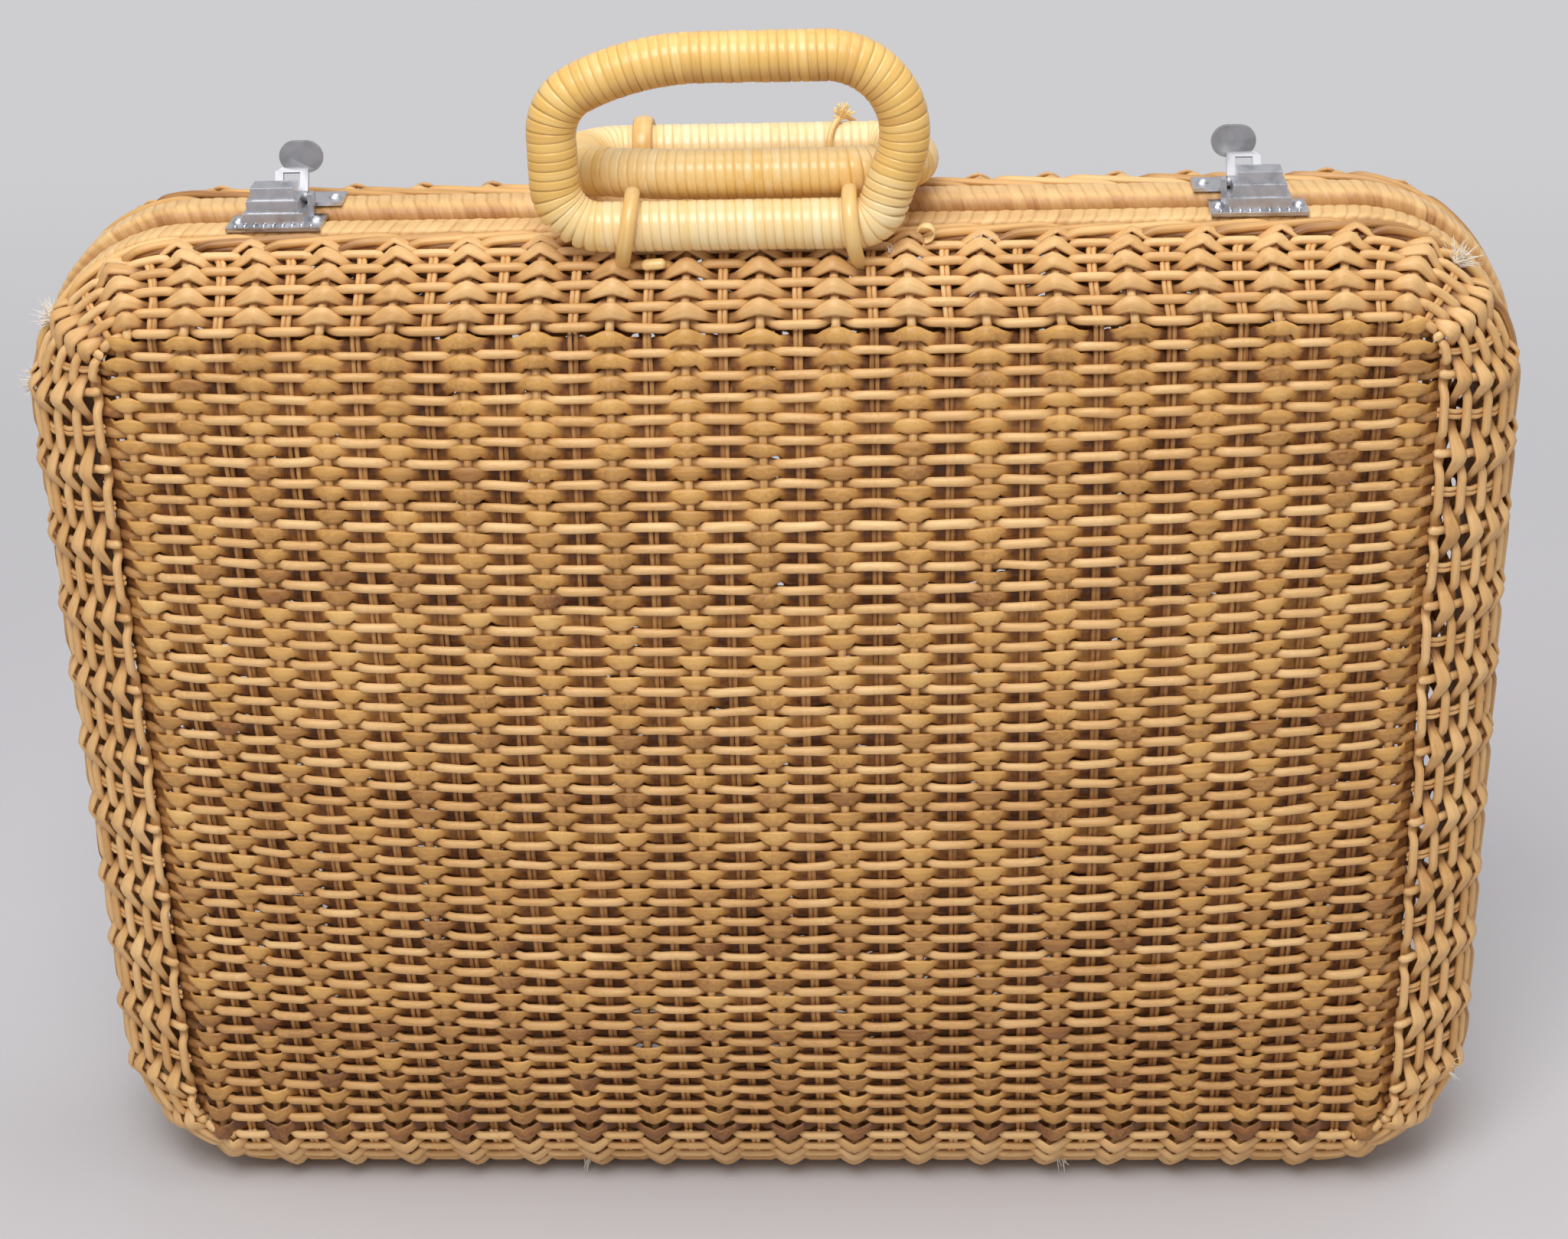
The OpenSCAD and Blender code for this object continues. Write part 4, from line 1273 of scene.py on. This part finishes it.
@dataclass
class RimBinding(Part):
    """Flat cane wound edge to edge round the rim's hoop.

    The profile is the groove's depth at each ring of a turn, in shares of its greatest.
    """

    near: float = 0.25 * MM
    far: float = 13.0 * MM
    thick: float = 10.0 * MM
    edge_r: float = 4.0 * MM
    soft_r: float = 1.5 * MM
    pitch: float = 3.6 * MM
    groove: float = 0.3 * MM
    unevenness: float = 0.09 * MM
    girth: float = 45 * MM
    slant: int = 2
    profile: tuple[float, ...] = (1.0, 0.25, 0.0, 0.0, 0.25)

    def section(self) -> np.ndarray:
        """Walks once round the section, with its four rounded corners.

        Returns:
            Points, each an inset and a depth from the seam.
        """
        corners = (
            (self.edge_r, self.near + self.edge_r, self.edge_r, 180),
            (self.thick - self.soft_r, self.near + self.soft_r, self.soft_r, 270),
            (self.thick - self.soft_r, self.far - self.soft_r, self.soft_r, 0),
            (self.soft_r, self.far - self.soft_r, self.soft_r, 90),
        )
        out = []
        for cx, cy, r, start in corners:
            for a in np.radians(start + np.linspace(0, 90, 6 if r == self.edge_r else 4)):
                out.append((cx + r * math.cos(a), cy + r * math.sin(a)))
        out.append((0.0, (self.far + self.edge_r) / 2))
        return np.array(out)

    def build(self) -> None:
        """Builds the winding as one helical skin round the hoop, with painted shade in the seam between the
        halves.
        """
        rng, outline = self.rng, self.form.outline
        section = self.section()
        centre = np.array([self.thick / 2, (self.near + self.far) / 2])
        whole = 4 * outline.quarter
        turns = round(whole / self.pitch)
        rings_a_turn = len(self.profile)
        n, m = turns * rings_a_turn, len(section)
        ring = np.arange(n)
        turn, step = ring // rings_a_turn, ring % rings_a_turn
        jitter = np.abs(rng.normal(0, self.unevenness, turns))[turn]
        sunk = (np.array(self.profile)[step] * self.groove + np.where(step > 0, jitter, 0))[:, None]
        s = (ring / n * whole)[:, None] + (np.arange(m) / m * self.slant * whole / turns)[None, :]
        inward = unit(centre - section)
        inset, d = (section[None, :, axis] + sunk * inward[None, :, axis] for axis in (0, 1))
        x, y, _, _ = outline.place(s, inset, inset)
        points = self.form.world(x, y, np.broadcast_to(d, x.shape))
        tone = (0.55 + rng.normal(0, 0.05, turns))[turn]
        across = np.cumsum(np.linalg.norm(np.diff(section, axis=0, prepend=section[:1]), axis=1))
        along = turn[:, None] * self.girth + across[None, :]
        # Painted shade darkens the winding in the seam between the halves; darker lines mark the grooves
        # between turns.
        seam = 0.9 * fall(section[None, :, 1], 2.6 * MM, 1.8 * MM)
        lines = 0.5 * (step == 0)[:, None]
        skin = Skin()
        skin.winding(points, tone, along, rings_a_turn, self.slant, np.maximum(seam, lines))
        self.dress(skin, "rim_cane", "rim", "rim_cane", "rim_binding")


@dataclass(frozen=True)
class Seat:
    """Where a half's handle is tied: the middle of its bar in the frame, and how far its ring leans."""

    x: float
    y: float
    z: float
    lean: float


@dataclass
class Handle(Part):
    """A bent ring wound with glossy flat cane, on its half's tied bar.

    The bleached share is how much paler the tied bar is than the grip. The fractions are the places
    of the rings in a turn, the fans their shifts outside a bend, and the profile the groove's depth.
    """

    seat: Seat
    bleached: float
    width: float = 99.5 * MM
    height: float = 48.5 * MM
    radius: float = 7.25 * MM
    low_left: float = 13 * MM
    low_right: float = 8 * MM
    high_left: float = 15 * MM
    high_right: float = 22 * MM
    shoulder: float = 80 * MM
    shoulder_turn: float = math.radians(26)
    leg_lean: float = math.radians(20)
    pitch: float = 2.7 * MM
    groove: float = 0.4 * MM
    fan_groove: float = 3.4
    unevenness: float = 0.08 * MM
    fractions: tuple[float, ...] = (0.0, 0.07, 0.28, 0.5, 0.72, 0.93)
    fans: tuple[float, ...] = (0.0, 0.16, 0.06, 0.0, -0.06, -0.16)
    profile: tuple[float, ...] = (1.0, 0.1, 0.0, 0.0, 0.0, 0.1)
    sides: int = 22

    def centre_line(self) -> tuple[np.ndarray, np.ndarray, np.ndarray]:
        """Walks the ring once: the tied bar, the leaning leg, the grip, the long shoulder and back.

        Each bend's middle follows from its neighbours, so that every straight run meets it smoothly.

        Returns:
            Lengths along it, and its x and height over the tied bar.
        """
        half, lean, turn = self.width / 2, self.leg_lean, self.shoulder_turn
        right = (half - self.high_right, self.height - self.high_right)
        low_x = right[0] + (
            self.high_right - self.low_right - (right[1] - self.low_right) * math.sin(lean)
        ) / math.cos(lean)
        step = self.shoulder - self.high_left
        left = (self.high_left - half, self.height - self.shoulder + step * math.cos(turn))
        over = (left[0] + step * math.sin(turn), left[1] - step * math.cos(turn))
        bends = (
            ((low_x, self.low_right), self.low_right, -math.pi / 2, -lean),
            (right, self.high_right, -lean, math.pi / 2),
            (over, self.shoulder, math.pi / 2, math.pi / 2 + turn),
            (left, self.high_left, math.pi / 2 + turn, math.pi),
            ((self.low_left - half, self.low_left), self.low_left, math.pi, 1.5 * math.pi),
        )
        xs, zs = [0.0], [0.0]
        for (cx, cz), r, start, stop in bends:
            for a in np.linspace(start, stop, 40):
                xs.append(cx + r * math.cos(a))
                zs.append(cz + r * math.sin(a))
        x, z = np.array(xs + [0.0]), np.array(zs + [0.0])
        s = np.concatenate([[0.0], np.cumsum(np.hypot(np.diff(x), np.diff(z)))])
        return s, x, z

    def place(self, x: np.ndarray, out: np.ndarray, z: np.ndarray) -> np.ndarray:
        """Turns the ring's own terms into points of the frame, by its lean and its seat.

        Args:
            x: Places along the tied bar.
            out: Distances out of the ring's plane.
            z: Heights over the tied bar, in the ring's plane.

        Returns:
            The points.
        """
        c, s = math.cos(self.seat.lean), math.sin(self.seat.lean)
        y = self.seat.y + out * c - z * s
        return np.stack([x + self.seat.x, y, self.seat.z + out * s + z * c], axis=-1)

    def build(self) -> None:
        """Builds the winding as one helical skin round the bent ring.

        A point lies at the ring's centre line plus the section's radius, less the groove between two
        turns. Outside a bend the turns fan apart, so the groove there is wider and deeper.
        """
        rng = self.rng
        run, px, pz = self.centre_line()
        whole = run[-1]
        turns = round(whole / self.pitch)
        rings_a_turn = len(self.profile)
        ring = np.arange(turns * rings_a_turn)
        turn, ring = ring // rings_a_turn, ring % rings_a_turn
        later = ring > 0
        step = whole / turns
        angle = TAU * np.arange(self.sides) / self.sides

        def on_line(s: np.ndarray) -> tuple[np.ndarray, np.ndarray]:
            """Places on the centre line at lengths along it."""
            return np.interp(s, run, px), np.interp(s, run, pz)

        mid_x, mid_z = on_line((turn + 0.5) * step)
        fan = fall(mid_z, 14 * MM, 8 * MM) * smooth((np.abs(mid_x) - self.width / 2 + 13 * MM) / (8 * MM))
        away = np.clip(np.cos(angle), 0.0, 1.0)[None, :] * fan[:, None]
        part = np.array(self.fractions)[ring][:, None] + np.array(self.fans)[ring][:, None] * away
        wander = rng.normal(0, 0.04, turns)[turn] * step * later
        s = np.mod((turn[:, None] + part) * step + wander[:, None] + (angle / TAU * step)[None, :], whole)
        x, z = on_line(s)
        near = 0.4 * MM
        (ahead_x, ahead_z), (behind_x, behind_z) = (on_line(np.mod(s + by, whole)) for by in (near, -near))
        tx, tz = ahead_x - behind_x, ahead_z - behind_z
        size = np.hypot(tx, tz)
        tx, tz = tx / size, tz / size
        groove = self.groove * np.array(self.profile)[ring][:, None] * (1 + self.fan_groove * away)
        jitter = np.abs(rng.normal(0, self.unevenness, turns))[turn][:, None] * later[:, None]
        radius = self.radius - groove - jitter
        reach = radius * np.cos(angle)[None, :]
        points = self.place(x + tz * reach, radius * np.sin(angle)[None, :], z - tx * reach)
        pale = fall(mid_z, 16 * MM, 12 * MM)
        tone = 0.5 + 0.1 * (self.half is Half.BACK) + rng.normal(0, 0.035, turns)
        tone = tone[turn] + self.bleached * pale
        along = turn[:, None] * TAU * self.radius + angle[None, :] * self.radius
        # Painted shade darkens the underside of the front handle's grip, away from the tied bar.
        underside_shade = 1.2 * np.clip(tx * np.cos(angle)[None, :], 0.0, 1.0) * (1 - pale[:, None])
        lines = 0.45 * (ring == 0)[:, None]
        skin = Skin()
        skin.winding(points, tone, along, rings_a_turn, under=lines + underside_shade * (self.half is Half.FRONT))
        self.dress(skin, "handle_cane", "handle", "handle_cane", "handle_binding", on_handle=True)


@dataclass(frozen=True)
class Loop:
    """One tie: its place from the middle of the bar, half sizes of its cane, tone and how it lies.

    It strays along the case as it goes down, and a skewed one slants from front to back.
    """

    at: float
    half_width: float
    half_thick: float
    tone: float
    stray: float = 0.0
    skew: float = 0.0


@dataclass
class HandleTies(Part):
    """Two closed loops of cane that hold a handle's bar to the weave, pinched in below it."""

    seat: Seat
    leg: float
    loops: tuple[Loop, Loop]
    lean: float = math.radians(15)
    bar_r: float = 7.75 * MM
    pinch: float = 0.72
    fibres: int = 26

    def build(self) -> None:
        """Builds both loops, each a racetrack round the bar with its legs drawn together in the weave."""
        arc = np.linspace(0, math.pi, 17)
        legs = np.linspace(0, 1, 12)[1:-1]
        across = np.concatenate([np.cos(arc), -1 + 0 * legs, -np.cos(arc), 1 + 0 * legs])
        lean = -self.half.value * self.lean
        skin = Skin()
        for tie in self.loops:
            radius = self.bar_r + tie.half_thick
            bend = radius * np.sin(arc)
            z = np.concatenate([bend, -self.leg * legs, -self.leg - bend, -self.leg * (1 - legs)])
            y = radius * across * (1 - self.pinch * smooth(-z / (0.7 * self.leg)))
            cy, cz = y * math.cos(lean) - z * math.sin(lean), y * math.sin(lean) + z * math.cos(lean)
            x = self.seat.x + tie.at + tie.stray * (0.4 - z / self.leg) + tie.skew * across
            path = np.stack([x, self.seat.y + cy, self.seat.z + cz], axis=-1)[None]
            if tie.skew:
                self.tear(skin, path[0, len(arc) // 2 + 1])
            normal = np.stack([0 * x, np.gradient(cz), -np.gradient(cy)], axis=-1)[None]
            tone = np.array([tie.tone])
            skin.strands(path, normal, tie.half_width, tie.half_thick, 12, tone, closed=True)
        self.dress(skin, "tie_loops", "tie", "tie_cane", "handle_ties")

    def tear(self, skin: Skin, root: np.ndarray) -> None:
        """Adds the torn fibres on top of a frayed loop: straight lines that fan up out of one point.

        Args:
            skin: The skin that they are added to.
            root: The point that they leave.
        """
        way = unit(self.rng.normal(0, 0.6, (self.fibres, 3)) + np.array([0.1, 0.0, 0.9]))
        ends = way * self.rng.uniform(2, 5.2, (self.fibres, 1)) * MM
        path = root + ends[:, None, :] * np.linspace(0, 1, 5)[None, :, None]
        skin.strands(path, np.ones_like(path) * np.array([0.2, 1.0, 0.1]), 0.3 * MM, 0.22 * MM, 4, 1.1)


@dataclass(frozen=True)
class Tuft:
    """One tuft: its stake's number, its share of the band, its number of fibres and their length."""

    stake: float
    share: float
    fibres: int
    length: float


@dataclass
class LooseEnds(Part):
    """Tufts of torn fibre on the front half, a curled end of flat cane and the blunt stub of a rod.

    The curl's and the stub's places are a stake's number and a share of the band.
    """

    fibre_half: float = 0.32 * MM
    tufts: tuple[Tuft, ...] = (
        Tuft(-20.4, -0.08, 70, 5.5 * MM),
        Tuft(-22.3, -0.05, 50, 4.5 * MM),
        Tuft(18.9, -0.02, 60, 5.5 * MM),
        Tuft(70.5, 0.25, 12, 4.0 * MM),
        Tuft(55.5, 0.3, 12, 4.0 * MM),
        Tuft(42.0, 0.4, 12, 4.0 * MM),
        Tuft(6.0, 0.12, 16, 3.0 * MM),
        Tuft(3.6, 0.2, 10, 1.8 * MM),
    )
    curl_at: tuple[float, float] = (4.45, 0.1)
    curl_r: float = 3.1 * MM
    curl_turn: float = 1.45 * math.pi
    curl_half: float = 1.7 * MM
    curl_thick: float = 0.4 * MM
    stub_at: tuple[float, float] = (-2.9, 0.36)
    stub_r: float = 1.7 * MM
    stub_reach: float = 3.6 * MM

    def build(self) -> None:
        """Builds the tufts as one piece and the cut ends as another."""
        self.frays()
        self.cut_ends()

    def frays(self) -> None:
        """Builds every tuft as thin fibres that fan out of one spot and curl.

        A fibre's point lies at its root, plus its length times its share of the way times its first
        direction, plus six tenths of its length times the square of that share times a second one.
        """
        rng = self.rng
        skin = Skin()
        u = np.linspace(0, 1, 7)[None, :, None]
        for tuft in self.tufts:
            n = tuft.fibres
            s = self.form.outline.at_stake(np.array([tuft.stake]), tuft.share) + rng.normal(0, 0.8 * MM, n)
            v = tuft.share + rng.normal(0, 0.02, n)
            root, normal = self.form.band(s, v, np.full(n, 1.0 * MM))
            first = unit(normal + rng.normal(0, 0.55, (n, 3)))
            second = unit(first + rng.normal(0, 0.9, (n, 3)))
            reach = tuft.length * rng.uniform(0.5, 1.0, (n, 1, 1))
            path = root[:, None, :] + reach * (u * first[:, None, :] + 0.6 * u**2 * second[:, None, :])
            around = np.cross(first, second)[:, None, :] + 0 * path
            size = self.fibre_half * (1.15 - u[..., 0]) * rng.uniform(0.7, 1.3, (n, 1))
            skin.strands(path, around, size, size, 4, rng.uniform(0.4, 0.9, n))
        self.dress(skin, "frayed_ends", "frayed", "border_cane")

    def root(self, at: tuple[float, float]) -> tuple[np.ndarray, np.ndarray, np.ndarray]:
        """Finds the root of a cut end.

        Args:
            at: Its stake's number and its share of the band.

        Returns:
            The point, the outward normal and the way along the band.
        """
        s = self.form.outline.at_stake(np.array([at[0]]), at[1])
        point, normal = self.form.band(s, np.array([at[1]]), 0.0)
        onward, _ = self.form.band(s + 1 * MM, np.array([at[1]]), 0.0)
        return point[0], normal[0], unit(onward - point)[0]

    def cut_ends(self) -> None:
        """Builds the curl and the stub.

        The curl's point lies at its root, plus its radius times one less the cosine of the turn along
        the normal and the sine of it along the band. The stub is a straight rod with a rounded end.
        """
        skin = Skin()
        point, normal, along = self.root(self.curl_at)
        turn = np.linspace(0.0, self.curl_turn, 26)[:, None]
        radius = self.curl_r * (1 - 0.06 * turn)
        out, side = radius * (1 - np.cos(turn)), radius * np.sin(turn)
        path = point + normal * out + along * side
        facing = normal * np.cos(turn) - along * np.sin(turn)
        wide = self.curl_half * (1 - 0.45 * smooth(np.linspace(-1.0, 1.0, 26)))[None, :]
        skin.strands(path[None], facing[None], wide, self.curl_thick, 8, 0.75)
        point, normal, along = self.root(self.stub_at)
        run = np.linspace(-1.0, 1.0, 15)[:, None]
        path = point + along * run * self.stub_reach + normal * (0.4 + 0.5 * run) * MM
        size = self.stub_r * np.sqrt(np.clip(1 - run[:, 0] ** 6, 0.02, 1.0))[None, :]
        skin.strands(path[None], (normal + 0 * path)[None], size, size * 0.85, 10, 0.7)
        self.dress(skin, "cut_ends", "tie", "border_cane")


@dataclass
class Hardware:
    """The metal pieces: the latches' shown nodes copied with their edges eased, the rest painted."""

    finishes: dict[str, bpy.types.Material]
    nodes: dict[str, bpy.types.Object]
    edge: float = 0.28 * MM
    sharp: float = math.radians(40)
    merge: float = 2e-6

    def soften(self, name: str, body: str, finish: str) -> None:
        """Copies a node, merges its loose faces, eases its edges and stands it for the node.

        Args:
            name: The node's name.
            body: The body that it rides on.
            finish: Key of its finish.
        """
        data = self.nodes[name].data.copy()
        data.name = f"{name}_eased"
        work = bmesh.new()
        work.from_mesh(data)
        bmesh.ops.remove_doubles(work, verts=work.verts, dist=self.merge)
        bmesh.ops.dissolve_limit(work, angle_limit=math.radians(0.5), verts=work.verts, edges=work.edges)
        work.to_mesh(data)
        work.free()
        if "custom_normal" in data.attributes:
            data.attributes.remove(data.attributes["custom_normal"])
        data.polygons.foreach_set("use_smooth", np.ones(len(data.polygons), bool))
        data.set_sharp_from_angle(angle=self.sharp)
        data.materials.clear()
        data.materials.append(self.finishes[finish])
        piece = link_object(f"{name}_eased", data)
        bevel = piece.modifiers.new("eased_edges", "BEVEL")
        bevel.width = self.edge
        bevel.segments = 2
        bevel.limit_method = "ANGLE"
        bevel.angle_limit = self.sharp
        bevel.harden_normals = True
        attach(piece, body)
        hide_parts(name)

    def paint(self, name: str, finish: str) -> None:
        """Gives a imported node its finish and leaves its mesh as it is.

        Args:
            name: The node's name.
            finish: Key of its finish.
        """
        slots = self.nodes[name].material_slots
        if not slots:
            self.nodes[name].data.materials.append(self.finishes[finish])
        for material_slot in slots:
            material_slot.material = self.finishes[finish]

    def build(self, bodies: dict[str, list[str]]) -> None:
        """Dresses every latch and hinge node, and the rods hidden in the bindings.

        Args:
            bodies: The nodes of each body, from the record.
        """
        for body, members in bodies.items():
            for name in members:
                if name.startswith("hasp"):
                    self.soften(name, body, "dull")
                elif name.startswith(("latch_plate", "latch_housing", "catch_plate")):
                    self.soften(name, body, "plated")
                elif name.startswith(("latch", "catch")):
                    self.paint(name, "plated")
                elif name.startswith("hinge"):
                    self.paint(name, "steel")
                elif name.endswith(("_core", "_rod")):
                    self.paint(name, "rim")


@dataclass(frozen=True)
class Lamp:
    """A square soft lamp: its name, place, size in metres and power in watts."""

    name: str
    at: tuple[float, float, float]
    size: float
    power: float


@dataclass(frozen=True)
class Studio:
    """A plain pale sweep, soft lamps and the photograph's camera."""

    backdrop: tuple[int, int, int] = (208, 206, 209)
    far_colour: tuple[int, int, int] = (206, 205, 208)
    far_from: float = 0.1
    far_to: float = 1.2
    sweep_half: float = 4.0
    sweep_back: float = 1.5
    sweep_bend: float = 0.6
    sky_colour: tuple[float, float, float, float] = (0.97, 0.98, 1.0, 1.0)
    sky_power: float = 0.46
    lamps: tuple[Lamp, ...] = (
        Lamp("key_lamp", (-0.15, -0.8, 1.35), 0.7, 12.5),
        Lamp("top_lamp", (0.3, 0.1, 1.8), 1.2, 9.0),
    )
    lit_height: float = 0.16
    camera_at: tuple[float, float, float] = (0.0488, -0.8334, 0.577)
    pitch: float = math.radians(25.05)
    roll: float = math.radians(1.875)
    yaw: float = math.radians(-3.23)
    focal_px: float = 3749.0
    picture_px: float = 2000.0
    sensor: float = 36.0

    def build(self) -> None:
        """Makes the sweep, the world, the lamps and the camera."""
        self.sweep()
        self.light()
        self.camera()

    def sweep(self) -> None:
        """Makes the floor and its curved rise into the wall behind, as one strip of a profile."""
        side, back, bend = self.sweep_half, self.sweep_back, self.sweep_bend
        angle = np.linspace(0, math.pi / 2, 20)
        y = np.concatenate([[-side, 0.0], back + bend * np.sin(angle), [back + bend]])
        z = np.concatenate([[0.0, 0.0], bend - bend * np.cos(angle), [side]])
        edges = [np.stack([np.full_like(y, x), y, z], axis=-1) for x in (-side, side)]
        points = np.stack(edges, axis=1).reshape(-1, 3)
        faces = [(2 * i, 2 * i + 1, 2 * i + 3, 2 * i + 2) for i in range(len(y) - 1)]
        data = bpy.data.meshes.new("studio_sweep")
        data.from_pydata(points.tolist(), [], faces)
        data.polygons.foreach_set("use_smooth", np.ones(len(faces), bool))
        data.materials.append(self.paper())
        link_object("studio_sweep", data)

    def paper(self) -> bpy.types.Material:
        """Makes the sweep's paper, whose far part shows its plain colour to the camera and in reflections.

        Returns:
            The material.
        """
        graph = Graph("studio_paper")
        graph.fill(graph.shader, Base_Color=linear(self.backdrop), Roughness=0.9, Specular_IOR_Level=0.1)
        plain = graph.node("Emission", Color=linear(self.far_colour))
        parts = graph.node("SeparateXYZ")
        graph.link(graph.node("TexCoord").outputs["Object"], parts.inputs[0])
        far = graph.node("MapRange", From_Min=self.far_from, From_Max=self.far_to)
        far.interpolation_type = "SMOOTHSTEP"
        graph.link(parts.outputs["Y"], far.inputs["Value"])
        ray = graph.node("LightPath").outputs
        seen = graph.maths("MAXIMUM", ray["Is Camera Ray"], ray["Is Glossy Ray"])
        seen = graph.maths("MAXIMUM", seen, ray["Is Transmission Ray"])
        mix = graph.node("MixShader")
        sources = (graph.maths("MULTIPLY", far.outputs[0], seen), graph.shader.outputs[0], plain.outputs[0])
        for source, target in zip(sources, mix.inputs):
            graph.link(source, target)
        graph.link(mix.outputs[0], graph.tree.nodes["Material Output"].inputs["Surface"])
        return graph.material

    def light(self) -> None:
        """Makes an even world and soft area lamps above, in front and to the left."""
        world = bpy.data.worlds.new("studio_world")
        world.use_nodes = True
        Graph.fill(world.node_tree.nodes["Background"], Color=self.sky_colour, Strength=self.sky_power)
        bpy.context.scene.world = world
        for lamp in self.lamps:
            data = bpy.data.lights.new(lamp.name, "AREA")
            data.size = lamp.size
            data.energy = lamp.power
            made = link_object(lamp.name, data)
            made.location = lamp.at
            made.rotation_mode = "QUATERNION"
            aim = Vector(lamp.at) - Vector((0, 0, self.lit_height))
            made.rotation_quaternion = aim.to_track_quat("Z", "Y")

    def camera(self) -> None:
        """Places the camera from the angles and the focal length fitted to the photograph."""
        level_part = math.cos(self.pitch)
        forward = Vector(
            (math.sin(self.yaw) * level_part, math.cos(self.yaw) * level_part, -math.sin(self.pitch))
        )
        level = Vector((math.cos(self.yaw), -math.sin(self.yaw), 0.0))
        down = forward.cross(level)
        right = level * math.cos(self.roll) + down * math.sin(self.roll)
        up = level * math.sin(self.roll) - down * math.cos(self.roll)
        data = bpy.data.cameras.new("photo_camera")
        data.sensor_width = self.sensor
        data.lens = self.focal_px / self.picture_px * self.sensor
        cam = link_object("photo_camera", data)
        cam.rotation_mode = "QUATERNION"
        cam.rotation_quaternion = Matrix((right, up, -forward)).transposed().to_quaternion()
        cam.location = self.camera_at
        bpy.context.scene.camera = cam


def build_handles(finishes: dict[str, bpy.types.Material]) -> None:
    """Builds both handles with their ties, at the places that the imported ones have.

    Args:
        finishes: The materials by name.
    """
    front = Seat(-8 * MM, -30 * MM, 325 * MM, lean=0.0)
    back = Seat(-5.5 * MM, 33 * MM, 329.75 * MM, lean=math.radians(83.11))
    Handle(Half.FRONT, finishes, 41, front, bleached=0.2).build()
    Handle(Half.BACK, finishes, 43, back, bleached=0.14).build()
    front_loops = (
        Loop(-27.85 * MM, 2.25 * MM, 1.8 * MM, tone=0.5, stray=-4.2 * MM),
        Loop(33.96 * MM, 2.25 * MM, 1.8 * MM, tone=0.62, stray=2.4 * MM),
    )
    back_loops = (
        Loop(-32.25 * MM, 3.0 * MM, 1.1 * MM, tone=0.5),
        Loop(28.66 * MM, 0.9 * MM, 0.8 * MM, tone=0.62, skew=4.6 * MM),
    )
    HandleTies(Half.FRONT, finishes, 61, front, 21.27 * MM, front_loops).build()
    HandleTies(Half.BACK, finishes, 61, back, 27.03 * MM, back_loops).build()


def main() -> None:
    """Loads the frame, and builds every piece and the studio."""
    logging.basicConfig(level=logging.INFO, format="%(name)s %(message)s")
    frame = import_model()
    kit = Finishes()
    finishes = {name: getattr(kit, name).material() for name in kit.__dataclass_fields__}
    for half, seed in ((Half.FRONT, 11), (Half.BACK, 23)):
        Weave(half, finishes, seed).build()
        Border(half, finishes, seed + 1).build()
        RimBinding(half, finishes, seed + 2).build()
    build_handles(finishes)
    LooseEnds(Half.FRONT, finishes, 51).build()
    Hardware(finishes, frame["nodes"]).build(frame["record"]["behaviour"]["bodies"])
    bpy.context.scene.view_settings.view_transform = "Standard"
    Studio().build()


if __name__ == "__main__":
    main()
